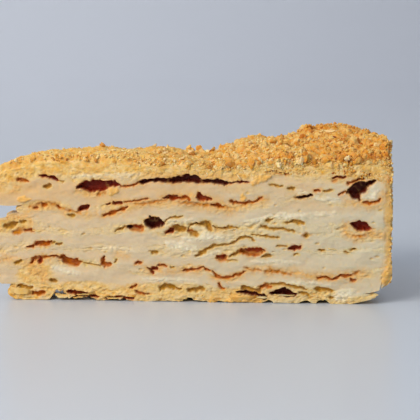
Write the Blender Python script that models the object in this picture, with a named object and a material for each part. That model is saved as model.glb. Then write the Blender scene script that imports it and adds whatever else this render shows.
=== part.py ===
"""A mille-feuille cake slice: six sheets of puff pastry with five creams between them, a crumb topping and a
crumbed coat of cream on the rim. Metres, +Z up. The tip points to -X, one cut face looks along -Y, and the
origin is at the centre of the slice's box, on the surface it stands on."""

import math
import random
from collections import namedtuple

import bmesh
import bpy
from mathutils import Euler, Matrix, Vector, noise

MM = 0.001

# The whole slice
SLICE_LENGTH = 127.5 * MM  # from the tip to the rim, along a cut
SLICE_ANGLE = math.radians(31)
TIP_WIDTH = 4 * MM  # the tip is blunt
ORIGIN_X = 64.0 * MM  # the origin, measured from the tip corner of the front cut
ORIGIN_Y = 34.5 * MM
COAT_THICKNESS = 2.7 * MM  # cream and crumbs on the rim
COAT_BULGE = 0.9 * MM
COAT_ROUGHNESS = 0.9 * MM
COAT_BOTTOM = 6.4 * MM  # the coat stops short of the surface that the slice stands on
COAT_BOTTOM_WAVE = 1.3 * MM
LAYER_GAP = 0.34 * MM  # clearance between touching layers
THINNEST_LAYER = 0.9 * MM

# Facets of a layer: along the cut, across the slice and up the edge
LONG_FACETS = 22
CROSS_FACETS = 3
TOP_SPLITS = 1  # how many times each of the cross facets is split on top of the topping
END_FACETS = 2  # of the long facets at either end, which are not in line from layer to layer
END_LENGTH = 14 * MM  # from the tip and from the rim to where the layers' facets are in line
COAT_FACETS = (2, 12, 6)  # through the coat, round the rim and up
SHARP_ANGLE = math.radians(40)  # edges sharper than this aren't shaded smooth

# The heights of the layers' boundaries, from the bottom up. A boundary is level at its height, apart from its
# swells: (distance from the tip, rise, reach along the cut), all in millimetres.
BOUNDARIES = [
    (5.2, [(41, -1.2, 8), (61, 0.5, 7), (117, -1.9, 8)]),
    (9.5, [(30, 1.9, 16), (52, -1.0, 6), (76, -2.6, 6), (66, 1.0, 6), (84, 1.6, 6), (108, -1.4, 10)]),
    (11.2, [(22, 2.8, 14), (52, -0.8, 6), (76, -2.6, 6), (66, 0.9, 6), (84, 1.6, 6), (108, -1.5, 10)]),
    (15.4, [(22, 1.1, 12), (70, -1.3, 9), (98, 0.9, 6), (118, 1.2, 8)]),
    (18.2, [(14, 0.7, 8), (62, -0.9, 8), (82, 1.7, 5), (110, -0.3, 10)]),
    (21.3, [(49, 1.3, 6), (66, -1.2, 6), (93, 1.1, 6), (118, -1.0, 6)]),
    (25.3, [(8, 0.8, 6), (28, -2.0, 8), (52, 1.3, 6), (76, -0.8, 5), (92, 1.7, 8), (124, -0.6, 6)]),
    (29.6, [(6, -1.8, 10), (30, -2.6, 8), (55, 1.3, 8), (74, -0.7, 5), (101, 4.0, 9), (117, 1.2, 5)]),
    (32.2, [(6, -1.8, 10), (30, -2.6, 8), (57, 0.4, 8), (74, -1.3, 5), (101, 3.2, 9), (117, 1.2, 5)]),
    (39.2, [(4, -1.9, 7), (33, -2.3, 7), (63, 1.1, 9), (79, -0.7, 5), (92, 1.8, 9), (117, 0.9, 9)]),
    (42.2, [(2, -2.4, 6), (20, 1.6, 9), (36, -0.9, 8), (68, -0.8, 16), (92, 0.9, 9), (120, 1.9, 12)]),
]
TOP = (45.3, [(0, -2.6, 6), (20, 1.3, 9), (40, 0.7, 10), (70, -1.4, 16), (96, 0.4, 9), (124, 2.7, 14)])
RIM_MOUND = (3.6, 30)  # how much higher the topping is along the middle of the rim, and over what reach
MOUND_EDGE = 0.35  # the share of the width over which the mound falls off to the front cut
TOP_EDGE_DROP = (2.2 * MM, 0.10)  # the topping slumps over the cuts, and over what share of the width
BACK_WAVE = 2.2 * MM  # how far a boundary's height may drift away from the front cut
WAVE_LENGTH = 19 * MM  # of that drift along the slice
WAVES_ACROSS = 2.5
WAVE_START = (40 * MM, 1 / 3)  # the distance from the tip and the share of the width where it is full

# Each layer from the bottom up: how far its ends are short of the tip and of the rim, and how rough its cuts
# are, in millimetres, and its facets up the edge
Layer = namedtuple("Layer", "name kind tip_short rim_short rough up_facets")
LAYERS = [
    Layer("bottom_pastry", "pastry", 5.4, 8.2, 2.0, 2),
    Layer("cream_1", "cream", 2.4, 3.0, 0.5, 2),
    Layer("pastry_2", "pastry", 0.8, 3.0, 1.1, 1),
    Layer("cream_2", "cream", 1.6, 3.0, 0.4, 2),
    Layer("pastry_3", "pastry", 0.4, 3.0, 1.4, 2),
    Layer("cream_3", "cream", 1.2, 3.0, 0.4, 2),
    Layer("pastry_4", "pastry", 0.9, 3.0, 1.5, 2),
    Layer("cream_4", "cream", 3.9, 3.0, 0.4, 2),
    Layer("pastry_5", "pastry", 7.6, 3.0, 1.2, 1),
    Layer("cream_5", "cream", 1.0, 3.0, 0.6, 2),
    Layer("top_pastry", "pastry", 0.3, 3.0, 1.2, 1),
]
TOPPING = Layer("crumb_topping", "crumb", 0.0, 0.0, 0.9, 2)
MOST_SET_BACK = 0.06  # of the width, so that rough cuts never meet at the tip

# Hollows between the leaves where they show at a cut, in millimetres, with how steeply each climbs away from
# the tip, in degrees
Hollow = namedtuple("Hollow", "distance height half_length half_height depth climb")
FRONT_HOLLOWS = [
    Hollow(34.1, 37.2, 6.6, 2.1, 8.5, 0),
    Hollow(65.5, 39.7, 16.5, 0.9, 6.5, 1),
    Hollow(59.5, 34.0, 4.4, 1.3, 6.0, 8),
    Hollow(68.5, 33.3, 2.8, 1.3, 5.5, -12),
    Hollow(52.2, 25.3, 2.9, 1.7, 7.5, 0),
    Hollow(117.8, 36.9, 5.2, 2.3, 9.0, 33),
    Hollow(118.1, 25.1, 3.3, 1.4, 7.0, -12),
    Hollow(82.6, 16.4, 5.1, 1.3, 6.0, 12),
    Hollow(23.2, 12.9, 4.9, 1.4, 5.5, -26),
    Hollow(15.4, 18.4, 3.9, 1.2, 5.0, 6),
    Hollow(93.0, 3.6, 4.6, 1.7, 6.5, -4),
]
BACK_HOLLOWS = 7
BACK_HOLLOW_STRETCH = (22, 118)  # where they lie, from the tip
BACK_HOLLOW_BOUNDARIES = (2, 4, 5, 6, 7, 8, 10)
BACK_HOLLOW_SIZES = ((3.0, 7.5), (1.1, 2.0), (5.0, 8.0))  # ranges of half length, half height and depth
BACK_HOLLOW_CLIMB = 10
HOLLOW_ROUGHNESS = 0.22
LARGE_HOLLOW = 5  # the half length from which a hollow has the finer facets, in millimetres

# Crumbs fused to the topping and the coat, and flakes fused to the bottom sheet. Each scatter has a count, its
# largest and smallest sizes, and the seed of its random draw.
Scatter = namedtuple("Scatter", "count largest smallest seed")
TOP_CRUMBS = Scatter(136, 5.2 * MM, 2.6 * MM, 7)
COAT_CRUMBS = Scatter(22, 4.2 * MM, 2.6 * MM, 5)
BOTTOM_FLAKES = Scatter(12, 8.5 * MM, 4.5 * MM, 8)
COAT_CRUMB_TOP = 36 * MM  # no crumb of the coat lies higher
CRUMB_JITTER = 0.20  # how far a crumb's corners stand in or out, of its radius
CRUMB_CLEARANCE = 1.0 * MM  # over the sheet under the topping
CRUMB_SINK = 0.14  # how deep a crumb's centre sits under the surface, of its size
FLAKE_SHAPE = (1.0, 0.45, 0.34)  # length, depth and thickness, of its size
FLAKE_STRETCH = (14 * MM, 18 * MM)  # no flake lies nearer than this to the tip or the rim
FLAKE_LIFT = (1.9 * MM, 0.11)  # the height of a flake's centre, and what its size adds
FLAKE_INSET = 0.9 * MM  # of its centre, into the cake
FLAKE_CLEARANCE = 0.2 * MM  # over the surface that the slice stands on
SPACING = 0.42  # between two lumps' centres, of the sum of their sizes
TRIES = 60  # for a lump to find a clear place

COLORS = {
    "pastry": ((0.66, 0.42, 0.17), 0.75),
    "cream": ((0.78, 0.62, 0.38), 0.45),
    "crumb": ((0.75, 0.47, 0.17), 0.85),
}


# ---------------------------------------------------------------- the slice's form


def lerp(low, high, share):
    return low + (high - low) * share


def facet_distance(along, tip_end, rim_end):
    """The distance from the tip of a row of corners, for its share of the long facets."""
    end_share = END_FACETS / LONG_FACETS
    if along < end_share:
        return lerp(tip_end, END_LENGTH, along / end_share)
    if along > 1 - end_share:
        return lerp(rim_end, SLICE_LENGTH - END_LENGTH, (1 - along) / end_share)
    return lerp(END_LENGTH, SLICE_LENGTH - END_LENGTH, (along - end_share) / (1 - 2 * end_share))


def ease_to_ends(share):
    """Spreads even steps so that they are closer at both ends."""
    return round(lerp(share, 0.5 - 0.5 * math.cos(math.pi * share), 0.75), 6)


def plan_point(distance, across):
    """The place in plan at a distance from the tip, from the front cut (across 0) to the back cut (1)."""
    angle = SLICE_ANGLE * across
    return (
        distance * math.cos(angle) - ORIGIN_X,
        distance * math.sin(angle) + TIP_WIDTH * across - ORIGIN_Y,
    )


def swelled(boundary, distance):
    """A boundary's height along the front cut."""
    height, swells = boundary
    along = distance / MM
    return MM * (height + sum(rise * math.exp(-(((along - at) / reach) ** 2)) for at, rise, reach in swells))


def wave(number, distance, across):
    """What a boundary gains away from the front cut, so that no two stretches of it are alike."""
    full_distance, full_across = WAVE_START
    growth = min(1.0, across / full_across) * min(1.0, distance / full_distance)
    place = Vector((distance / WAVE_LENGTH, across * WAVES_ACROSS, number * 3.7))
    return BACK_WAVE * growth * noise.noise(place)


def boundary_height(number, distance, across):
    """The height of boundary number, counted from 0 under the bottom sheet."""
    if number == 0:
        return 0.0
    below = boundary_height(number - 1, distance, across)
    height = swelled(BOUNDARIES[number - 1], distance) + wave(number, distance, across)
    return max(height, below + THINNEST_LAYER + LAYER_GAP)


def top_height(distance, across):
    """The height of the topping between its crumbs."""
    rise, reach = RIM_MOUND
    drop, slumped = TOP_EDGE_DROP
    mound = 1 - (1 - min(1.0, across / MOUND_EDGE)) ** 2
    mound *= MM * rise * math.exp(-(((SLICE_LENGTH - distance) / MM / reach) ** 2))
    edge = max(0.0, 1 - min(across, 1 - across) / slumped) ** 2
    return swelled(TOP, distance) + mound - drop * edge + wave(len(BOUNDARIES) + 1, distance, across)


def cut_normal(across):
    """The direction into the cake from a cut, in plan."""
    if across < 0.5:
        return Vector((0, 1, 0))
    return Vector((math.sin(SLICE_ANGLE), -math.cos(SLICE_ANGLE), 0))


def width_at(distance):
    """The width of the slice at a distance from the tip."""
    return distance * SLICE_ANGLE + TIP_WIDTH


def roughness(distance, across, up, seed):
    """How far a rough edge stands back at a place, as a share of the most that it may."""
    grain = noise.noise(Vector((distance * 260, across * 9, up * 1.9 + seed * 5.1)))
    return min(1.0, max(0.0, 0.45 + grain))


def set_back(distance, across, up, along, deep, seed):
    """Moves a corner of a rough edge into the layer, as a distance and a share of the width."""
    back = roughness(distance, across, up, seed) * deep
    if across in (0, 1):
        across += (1 - 2 * across) * min(back / width_at(distance), MOST_SET_BACK)
    if along in (0, 1):
        distance += (1 - 2 * along) * back
    return distance, across


# ---------------------------------------------------------------- modelling tools


def clear_scene():
    for old in list(bpy.data.objects):
        bpy.data.objects.remove(old, do_unlink=True)


def new_collection(name):
    made = bpy.data.collections.new(name)
    bpy.context.scene.collection.children.link(made)
    return made


def new_material(name, kind):
    color, rough = COLORS[kind]
    material = bpy.data.materials.new(name)
    material.use_nodes = True
    shader = material.node_tree.nodes["Principled BSDF"]
    shader.inputs["Base Color"].default_value = (*color, 1)
    shader.inputs["Roughness"].default_value = rough
    shader.inputs["Metallic"].default_value = 0
    return material


def object_of(mesh_maker, name, collection, kind=None):
    """An object from a bmesh, which it frees, with a material of its kind."""
    mesh = bpy.data.meshes.new(name)
    bmesh.ops.recalc_face_normals(mesh_maker, faces=mesh_maker.faces)
    bmesh.ops.triangulate(mesh_maker, faces=mesh_maker.faces)
    mesh_maker.to_mesh(mesh)
    mesh_maker.free()
    mesh.shade_smooth()
    mesh.set_sharp_from_angle(angle=SHARP_ANGLE)
    made = bpy.data.objects.new(name, mesh)
    if kind:
        mesh.materials.append(new_material(name, kind))
    collection.objects.link(made)
    return made


def unit_block(long_facets, cross_facets, up_facets):
    """A block from 0 to 1 each way: a grid, extruded a row at a time."""
    block = bmesh.new()
    bmesh.ops.create_grid(block, x_segments=long_facets, y_segments=cross_facets, size=0.5)
    bmesh.ops.translate(block, verts=block.verts, vec=(0.5, 0.5, 0))
    top = list(block.faces)
    for _ in range(up_facets):
        raised = bmesh.ops.extrude_face_region(block, geom=top)["geom"]
        if top[0].calc_center_median().z > 0:
            bmesh.ops.delete(block, geom=top, context="FACES_ONLY")
        top = [part for part in raised if isinstance(part, bmesh.types.BMFace)]
        corners = {corner for face in top for corner in face.verts}
        bmesh.ops.translate(block, verts=list(corners), vec=(0, 0, 1 / up_facets))
    # All the blocks are split along the same diagonals, so that two layers that meet stay parallel
    bmesh.ops.triangulate(block, faces=block.faces, quad_method="FIXED")
    for corner in block.verts:
        corner.co = [round(share, 6) for share in corner.co]
    return block


def apply_modifiers(made):
    """Puts what the modifiers make into the object's own mesh."""
    graph = bpy.context.evaluated_depsgraph_get()
    mesh = bpy.data.meshes.new_from_object(made.evaluated_get(graph))
    made.modifiers.clear()
    made.data = mesh


def combine(made, collection, operation, solver):
    """One Boolean of the object with a collection, applied."""
    boolean = made.modifiers.new(operation.title(), "BOOLEAN")
    boolean.operation = operation
    boolean.operand_type = "COLLECTION"
    boolean.collection = collection
    boolean.solver = solver
    apply_modifiers(made)


def remove_collection(collection):
    for old in list(collection.objects):
        bpy.data.objects.remove(old, do_unlink=True)
    bpy.data.collections.remove(collection)


def drop_scraps(made):
    """Keeps the largest of the pieces that a Boolean left."""
    mesh = bmesh.new()
    mesh.from_mesh(made.data)
    unseen = set(mesh.faces)
    pieces = []
    while unseen:
        piece = []
        to_visit = [unseen.pop()]
        while to_visit:
            face = to_visit.pop()
            piece.append(face)
            near = {other for edge in face.edges for other in edge.link_faces} & unseen
            unseen -= near
            to_visit += near
        pieces.append(piece)
    largest = max(pieces, key=len)
    scraps = [face for piece in pieces if piece is not largest for face in piece]
    bmesh.ops.delete(mesh, geom=scraps, context="FACES")
    bmesh.ops.triangulate(mesh, faces=mesh.faces)
    mesh.to_mesh(made.data)
    mesh.free()


# ---------------------------------------------------------------- layers


def split_top_facets(block):
    """Splits the facets of a block's top across the slice."""
    across_top = []
    for edge in block.edges:
        one, other = (corner.co for corner in edge.verts)
        if one.z == other.z == 1 and one.x == other.x:
            across_top.append(edge)
    bmesh.ops.subdivide_edges(block, edges=across_top, cuts=TOP_SPLITS)
    bmesh.ops.triangulate(block, faces=block.faces, quad_method="FIXED")


def build_layer(layer, lower, upper, seed, collection):
    """A wavy sheet between two height functions, with rough cuts."""
    block = unit_block(LONG_FACETS, CROSS_FACETS, layer.up_facets)
    if layer is TOPPING:
        split_top_facets(block)
    for vertex in block.verts:
        along, across, up = vertex.co
        distance = facet_distance(along, layer.tip_short * MM, SLICE_LENGTH - layer.rim_short * MM)
        distance, share = set_back(distance, ease_to_ends(across), up, along, layer.rough * MM, seed)
        height = lerp(lower(distance, share), upper(distance, share), up)
        vertex.co = (*plan_point(distance, share), height)
    return object_of(block, layer.name, collection, layer.kind)


def add_layers(collection):
    made = []
    for number, layer in enumerate(LAYERS):
        raised = 0.0 if number == 0 else LAYER_GAP / 2

        def lower(distance, share, number=number, raised=raised):
            return boundary_height(number, distance, share) + raised

        def upper(distance, share, number=number):
            return boundary_height(number + 1, distance, share) - LAYER_GAP / 2

        made.append(build_layer(layer, lower, upper, number, collection))
    return made


def add_topping(collection):
    def lower(distance, share):
        return boundary_height(len(BOUNDARIES), distance, share) + LAYER_GAP

    def upper(distance, share):
        return max(top_height(distance, share), lower(distance, share) + THINNEST_LAYER)

    return build_layer(TOPPING, lower, upper, len(LAYERS), collection)


def add_rim_coat(collection):
    """The crumbed cream on the rim, from one cut to the other, as a curved wall that bulges a little."""
    wall = unit_block(*COAT_FACETS)
    inner = SLICE_LENGTH - COAT_THICKNESS
    for vertex in wall.verts:
        along, across, up = vertex.co
        bottom = COAT_BOTTOM + COAT_BOTTOM_WAVE * noise.noise(Vector((across * 6, 1.7, 0.4)))
        distance = lerp(inner, SLICE_LENGTH, along)
        top = boundary_height(len(BOUNDARIES), distance, across) - LAYER_GAP
        if along == 1:
            distance += COAT_BULGE * math.sin(math.pi * up)
            distance -= COAT_ROUGHNESS * roughness(0, across * 3, up, 40)
        vertex.co = (*plan_point(distance, across), lerp(bottom, top, up))
    return object_of(wall, "rim_coat", collection, "crumb")


# ---------------------------------------------------------------- hollows, crumbs and flakes


def add_lump(name, place, size, turn, seed, collection, facets=1, jitter=CRUMB_JITTER):
    """A rough, angular lump: a squashed icosphere with its corners moved at random."""
    draw = random.Random(seed)
    lump = bmesh.new()
    bmesh.ops.create_icosphere(lump, subdivisions=facets, radius=0.5)
    for vertex in lump.verts:
        vertex.co *= 1 + draw.uniform(-jitter, jitter)
    shape = Matrix.LocRotScale(place, turn, size)
    bmesh.ops.transform(lump, matrix=shape, verts=lump.verts)
    return object_of(lump, name, collection)


def pick_back_hollows():
    """Hollows for the back cut, at random on the boundaries between the layers, spread along it."""
    draw = random.Random(12)
    hollows = []
    for number in range(BACK_HOLLOWS):
        share = (number + draw.uniform(0.2, 0.8)) / BACK_HOLLOWS
        distance = lerp(*BACK_HOLLOW_STRETCH, share)
        height = boundary_height(draw.choice(BACK_HOLLOW_BOUNDARIES), distance * MM, 1) / MM
        size = [draw.uniform(*limits) for limits in BACK_HOLLOW_SIZES]
        hollows.append(Hollow(distance, height, *size, draw.uniform(-BACK_HOLLOW_CLIMB, BACK_HOLLOW_CLIMB)))
    return hollows


def add_hollow_cutters(collection):
    placed = [(hollow, 0) for hollow in FRONT_HOLLOWS] + [(hollow, 1) for hollow in pick_back_hollows()]
    for number, (hollow, across) in enumerate(placed):
        place = Vector((*plan_point(hollow.distance * MM, across), hollow.height * MM))
        size = Vector((hollow.half_length, hollow.depth, hollow.half_height)) * 2 * MM
        turn = Euler((0, -math.radians(hollow.climb), SLICE_ANGLE * across))
        facets = 2 if hollow.half_length > LARGE_HOLLOW else 1
        name = f"hollow_{number}"
        cutter = add_lump(name, place, size, turn, number, collection, facets, HOLLOW_ROUGHNESS)
        cutter.hide_render = True
        cutter.display_type = "WIRE"


def is_clear(place, size, taken):
    return all((place - other).length > SPACING * (size + other_size) for other, other_size in taken)


def scatter(kind, pick, add):
    """Sets lumps at picked places, the largest first, and leaves out those that find no clear place."""
    draw = random.Random(kind.seed)
    taken = []
    for number in range(kind.count):
        size = lerp(kind.largest, kind.smallest, math.sqrt(number / (kind.count - 1)))
        for _ in range(TRIES):
            place, detail = pick(draw, size)
            if is_clear(place, size, taken):
                taken.append((place, size))
                add(number, place, size, detail, draw)
                break


def add_crumb(name, place, size, draw, seed, collection):
    shape = Vector((1, draw.uniform(0.7, 0.95), draw.uniform(0.6, 0.85))) * size
    turn = Euler([draw.uniform(0, 2 * math.pi) for _ in range(3)])
    return add_lump(name, place, shape, turn, seed, collection)


def lift_above(lump, height):
    lowest = min(vertex.co.z for vertex in lump.data.vertices)
    lump.location.z = max(0.0, height - lowest)


def add_top_crumbs(collection):
    def pick(draw, size):
        distance = SLICE_LENGTH * math.sqrt(draw.uniform(0.002, 0.985))
        margin = min(0.45, 0.4 * size / width_at(distance))
        across = draw.uniform(margin, 1 - margin)
        height = top_height(distance, across) - CRUMB_SINK * size
        floor = boundary_height(len(BOUNDARIES), distance, across) + CRUMB_CLEARANCE
        return Vector((*plan_point(distance, across), height)), floor

    def add(number, place, size, floor, draw):
        crumb = add_crumb(f"crumb_{number}", place, size, draw, number, collection)
        lift_above(crumb, floor)

    scatter(TOP_CRUMBS, pick, add)


def add_coat_crumbs(collection):
    def pick(draw, size):
        across = draw.uniform(0.04, 0.96)
        height = draw.uniform(COAT_BOTTOM + size, COAT_CRUMB_TOP)
        return Vector((*plan_point(SLICE_LENGTH - 0.2 * size, across), height)), None

    def add(number, place, size, _, draw):
        add_crumb(f"coat_crumb_{number}", place, size, draw, 500 + number, collection)

    scatter(COAT_CRUMBS, pick, add)


def add_bottom_flakes(collection):
    """Flat flakes that stick out at the foot of both cuts."""
    tip_end, rim_end = FLAKE_STRETCH
    base, gain = FLAKE_LIFT

    def pick(draw, size):
        across = draw.choice((0, 0, 1))
        distance = draw.uniform(tip_end, SLICE_LENGTH - rim_end)
        place = Vector((*plan_point(distance, across), base + gain * draw.uniform(0, 1) * size))
        return place + cut_normal(across) * FLAKE_INSET, across

    def add(number, place, size, across, draw):
        turn = Euler((draw.uniform(-0.15, 0.15), draw.uniform(-0.15, 0.15), SLICE_ANGLE * across))
        shape = Vector(FLAKE_SHAPE) * size
        flake = add_lump(f"flake_{number}", place, shape, turn, 900 + number, collection)
        lift_above(flake, FLAKE_CLEARANCE)

    scatter(BOTTOM_FLAKES, pick, add)


def fuse(made, fill, name):
    """Fuses what fill adds to a temporary collection with the object."""
    lumps = new_collection(name)
    fill(lumps)
    combine(made, lumps, "UNION", "MANIFOLD")
    remove_collection(lumps)


def cut_hollows(layers):
    """Cuts the hollows from the layers that they cross."""
    cutters = new_collection("cutters")
    add_hollow_cutters(cutters)
    for layer in layers:
        combine(layer, cutters, "DIFFERENCE", "EXACT")
    remove_collection(cutters)


def main():
    clear_scene()
    slice_parts = new_collection("mille_feuille_slice")
    layers = add_layers(slice_parts)
    topping = add_topping(slice_parts)
    coat = add_rim_coat(slice_parts)
    cut_hollows(layers)
    fuse(topping, add_top_crumbs, "top_crumbs")
    fuse(coat, add_coat_crumbs, "coat_crumbs")
    fuse(layers[0], add_bottom_flakes, "bottom_flakes")
    for made in [*layers, topping, coat]:
        drop_scraps(made)


main()
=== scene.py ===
"""The looks of a mille-feuille cake slice.

Every layer gets its torn, flaky or creamy cut faces. Crumbs lie on the top and the rim, and thin leaves of
pastry stick out of the cuts and at the foot. Lengths are in millimetres until a mesh is made. A place on a
cut is given by its distance from the tip and its height.
"""

import math
from collections import namedtuple

import bmesh
import bpy
import numpy as np
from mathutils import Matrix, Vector, noise


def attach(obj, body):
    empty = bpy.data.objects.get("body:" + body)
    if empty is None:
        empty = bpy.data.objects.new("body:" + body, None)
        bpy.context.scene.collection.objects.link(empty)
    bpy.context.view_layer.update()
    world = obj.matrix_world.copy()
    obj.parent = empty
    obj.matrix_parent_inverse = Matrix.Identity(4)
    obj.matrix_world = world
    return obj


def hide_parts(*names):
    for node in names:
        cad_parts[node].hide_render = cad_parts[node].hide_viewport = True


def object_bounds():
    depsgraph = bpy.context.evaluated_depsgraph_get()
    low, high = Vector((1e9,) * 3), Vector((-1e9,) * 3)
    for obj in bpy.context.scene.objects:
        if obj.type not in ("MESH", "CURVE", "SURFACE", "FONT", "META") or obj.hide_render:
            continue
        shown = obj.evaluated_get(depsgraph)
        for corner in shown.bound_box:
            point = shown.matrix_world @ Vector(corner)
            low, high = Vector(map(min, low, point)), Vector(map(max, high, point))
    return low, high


MM = 0.001

# The slice's form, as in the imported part
SLICE_LENGTH = 127.5
SLICE_ANGLE = math.radians(31)
TIP_WIDTH = 4.0
ORIGIN_X = 64.0
ORIGIN_Y = 34.5
COAT_THICKNESS = 2.7
COAT_BULGE = 0.9
COAT_BOTTOM = 6.4
COAT_BOTTOM_WAVE = 1.3
THINNEST_LAYER = 1.24

# The heights of the layers' boundaries along the front cut, from the bottom up: a level, and its swells as
# (distance from the tip, rise, reach along the cut)
BOUNDARIES = [
    (5.2, [(41, -1.2, 8), (61, 0.5, 7), (117, -1.9, 8)]),
    (9.5, [(30, 1.9, 16), (52, -1.0, 6), (76, -2.6, 6), (66, 1.0, 6), (84, 1.6, 6), (108, -1.4, 10)]),
    (11.2, [(22, 2.8, 14), (52, -0.8, 6), (76, -2.6, 6), (66, 0.9, 6), (84, 1.6, 6), (108, -1.5, 10)]),
    (15.4, [(22, 1.1, 12), (70, -1.3, 9), (98, 0.9, 6), (118, 1.2, 8)]),
    (18.2, [(14, 0.7, 8), (62, -0.9, 8), (82, 1.7, 5), (110, -0.3, 10)]),
    (21.3, [(49, 1.3, 6), (66, -1.2, 6), (93, 1.1, 6), (118, -1.0, 6)]),
    (25.3, [(8, 0.8, 6), (28, -2.0, 8), (52, 1.3, 6), (76, -0.8, 5), (92, 1.7, 8), (124, -0.6, 6)]),
    (29.6, [(6, -1.8, 10), (30, -2.6, 8), (55, 1.3, 8), (74, -0.7, 5), (101, 4.0, 9), (117, 1.2, 5)]),
    (32.2, [(6, -1.8, 10), (30, -2.6, 8), (57, 0.4, 8), (74, -1.3, 5), (101, 3.2, 9), (117, 1.2, 5)]),
    (39.2, [(4, -1.9, 7), (33, -2.3, 7), (63, 1.1, 9), (79, -0.7, 5), (92, 1.8, 9), (117, 0.9, 9)]),
    (42.2, [(2, -2.4, 6), (20, 1.6, 9), (36, -0.9, 8), (68, -0.8, 16), (92, 0.9, 9), (120, 1.9, 12)]),
]
BOUNDARY_NUMBERS = range(len(BOUNDARIES) + 1)  # from 0, the underside, to the top sheet's upper side
TOP = (45.3, [(0, -2.6, 6), (20, 1.3, 9), (40, 0.7, 10), (70, -1.4, 16), (96, 0.4, 9), (124, 2.7, 14)])
RIM_MOUND = (3.6, 30)
MOUND_EDGE = 0.35
TOP_EDGE_DROP = (2.2, 0.10)
BACK_WAVE = 2.2
WAVE_LENGTH = 19.0
WAVES_ACROSS = 2.5
WAVE_START = (40.0, 1 / 3)

# Each layer from the bottom up: how far it stops short of the tip and the rim, how much of it shows through
# the cream that the knife smeared over the cut, how browned it is (0 pale to 1 nearly black), and how many
# cells its mesh has across the slice
Layer = namedtuple("Layer", "name kind tip_short rim_short shown toast crossings")
LAYERS = [
    Layer("bottom_pastry", "pastry", 5.0, 8.2, 0.95, 0.12, 44),
    Layer("cream_1", "cream", 2.2, 2.7, 0.0, 0.0, 24),
    Layer("pastry_2", "pastry", 0.8, 2.7, 0.30, 0.08, 8),
    Layer("cream_2", "cream", 1.6, 2.7, 0.0, 0.0, 8),
    Layer("pastry_3", "pastry", 0.4, 2.7, 0.40, 0.02, 8),
    Layer("cream_3", "cream", 1.2, 2.7, 0.0, 0.0, 8),
    Layer("pastry_4", "pastry", 0.9, 2.7, 0.60, 0.02, 8),
    Layer("cream_4", "cream", 3.9, 2.7, 0.0, 0.0, 8),
    Layer("pastry_5", "pastry", 7.6, 2.7, 0.35, 0.10, 8),
    Layer("cream_5", "cream", 1.0, 2.7, 0.0, 0.0, 8),
    Layer("top_pastry", "pastry", 0.3, 2.7, 0.55, 0.10, 8),
]
FACE_STEP = 0.27  # between the corners of a cut's mesh
TOP_STEP = 0.5
TOP_CROSSINGS = 96
COAT_CELLS = (150, 9, 110)  # round the rim, through the coat and up
COAT_CORNER = 3.0  # the radius between a cut and the rim
COAT_TUCK = 0.1  # how far the coat reaches in past the layers' ends
COAT_FOOT_SHARE = 0.06  # how much of its height is drawn in at the foot
FEWEST_CELLS_UP = 6
OVERLAP = 0.06  # by which one layer reaches into the next, so that no light shows between them
SHARP_TURN = math.radians(65)  # edges that turn more than this are shaded as edges


def linear(red, green, blue):
    """An sRGB colour of 0 to 255 as linear light."""
    share = np.array((red, green, blue)) / 255
    return np.where(share > 0.04045, ((share + 0.055) / 1.055) ** 2.4, share / 12.92)


CREAM_TIP = linear(213, 186, 148)
CREAM_RIM = linear(208, 194, 163)
CREAM_WARM = linear(214, 172, 116)
PASTRY_TIP = linear(220, 188, 132)
PASTRY_RIM = linear(216, 196, 146)
CRUMB_PALE = linear(240, 212, 158)
CRUMBED_CUT_TOAST = 0.19
CRUMBED_CUT_INSET = 0.30
TOAST_STEPS = (0.0, 0.25, 0.45, 0.65, 0.85, 1.0)
TOAST_TINTS = [
    linear(226, 182, 104),
    linear(216, 150, 62),
    linear(182, 100, 36),
    linear(124, 52, 20),
    linear(70, 24, 16),
]

# What shows on a cut besides its layers, from what is painted first: a tint, how fully and how unevenly it
# covers, how far back a thin one stands and how much further for each millimetre of half height (less than 0
# stands out), how softly it ends, and by how much it is widened
Kind = namedtuple("Kind", "order tint cover patchy depth deepening edge wider")
GLOW = Kind(0, linear(218, 167, 96), 0.78, 0.7, 0.0, 0.0, 1.5, 0.3)
# WHITE is pale raised cream, which on the smeared cream also stands for a painted highlight
WHITE = Kind(1, linear(226, 213, 182), 0.70, 0.6, -0.05, -0.12, 0.80, 0.0)
ORANGE = Kind(2, linear(188, 116, 38), 0.90, 0.4, 0.10, 0.3, 0.40, 0.15)
FLAKE = Kind(3, linear(226, 174, 92), 0.90, 0.4, -0.15, -0.25, 0.30, 0.0)
# The hollows' tints, from OLIVE to DARK, are the browned inner leaves, painted darker for the deeper kinds as
# the shade inside each hollow
OLIVE = Kind(4, linear(188, 134, 44), 0.95, 0.0, 0.35, 1.1, 0.26, 0.12)
BROWN = Kind(5, linear(194, 106, 28), 0.95, 0.0, 0.40, 1.5, 0.22, 0.12)
RED = Kind(6, linear(170, 72, 26), 1.0, 0.0, 0.7, 1.7, 0.16, 0.10)
WINE = Kind(7, linear(148, 48, 28), 1.0, 0.0, 0.9, 1.6, 0.14, 0.05)
DARK = Kind(8, linear(112, 42, 26), 1.0, 0.0, 1.2, 2.0, 0.14, 0.16)
HOLLOW_ORDER = OLIVE.order  # kinds from this one on are hollows
DEEPEST_HOLLOW = 0.30  # of the slice's width there
PALE_LIP = linear(214, 186, 122)  # round those of this first kind
BROWN_LIP = linear(216, 164, 94)  # and round the others

Mark = namedtuple("Mark", "kind spine")

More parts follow.
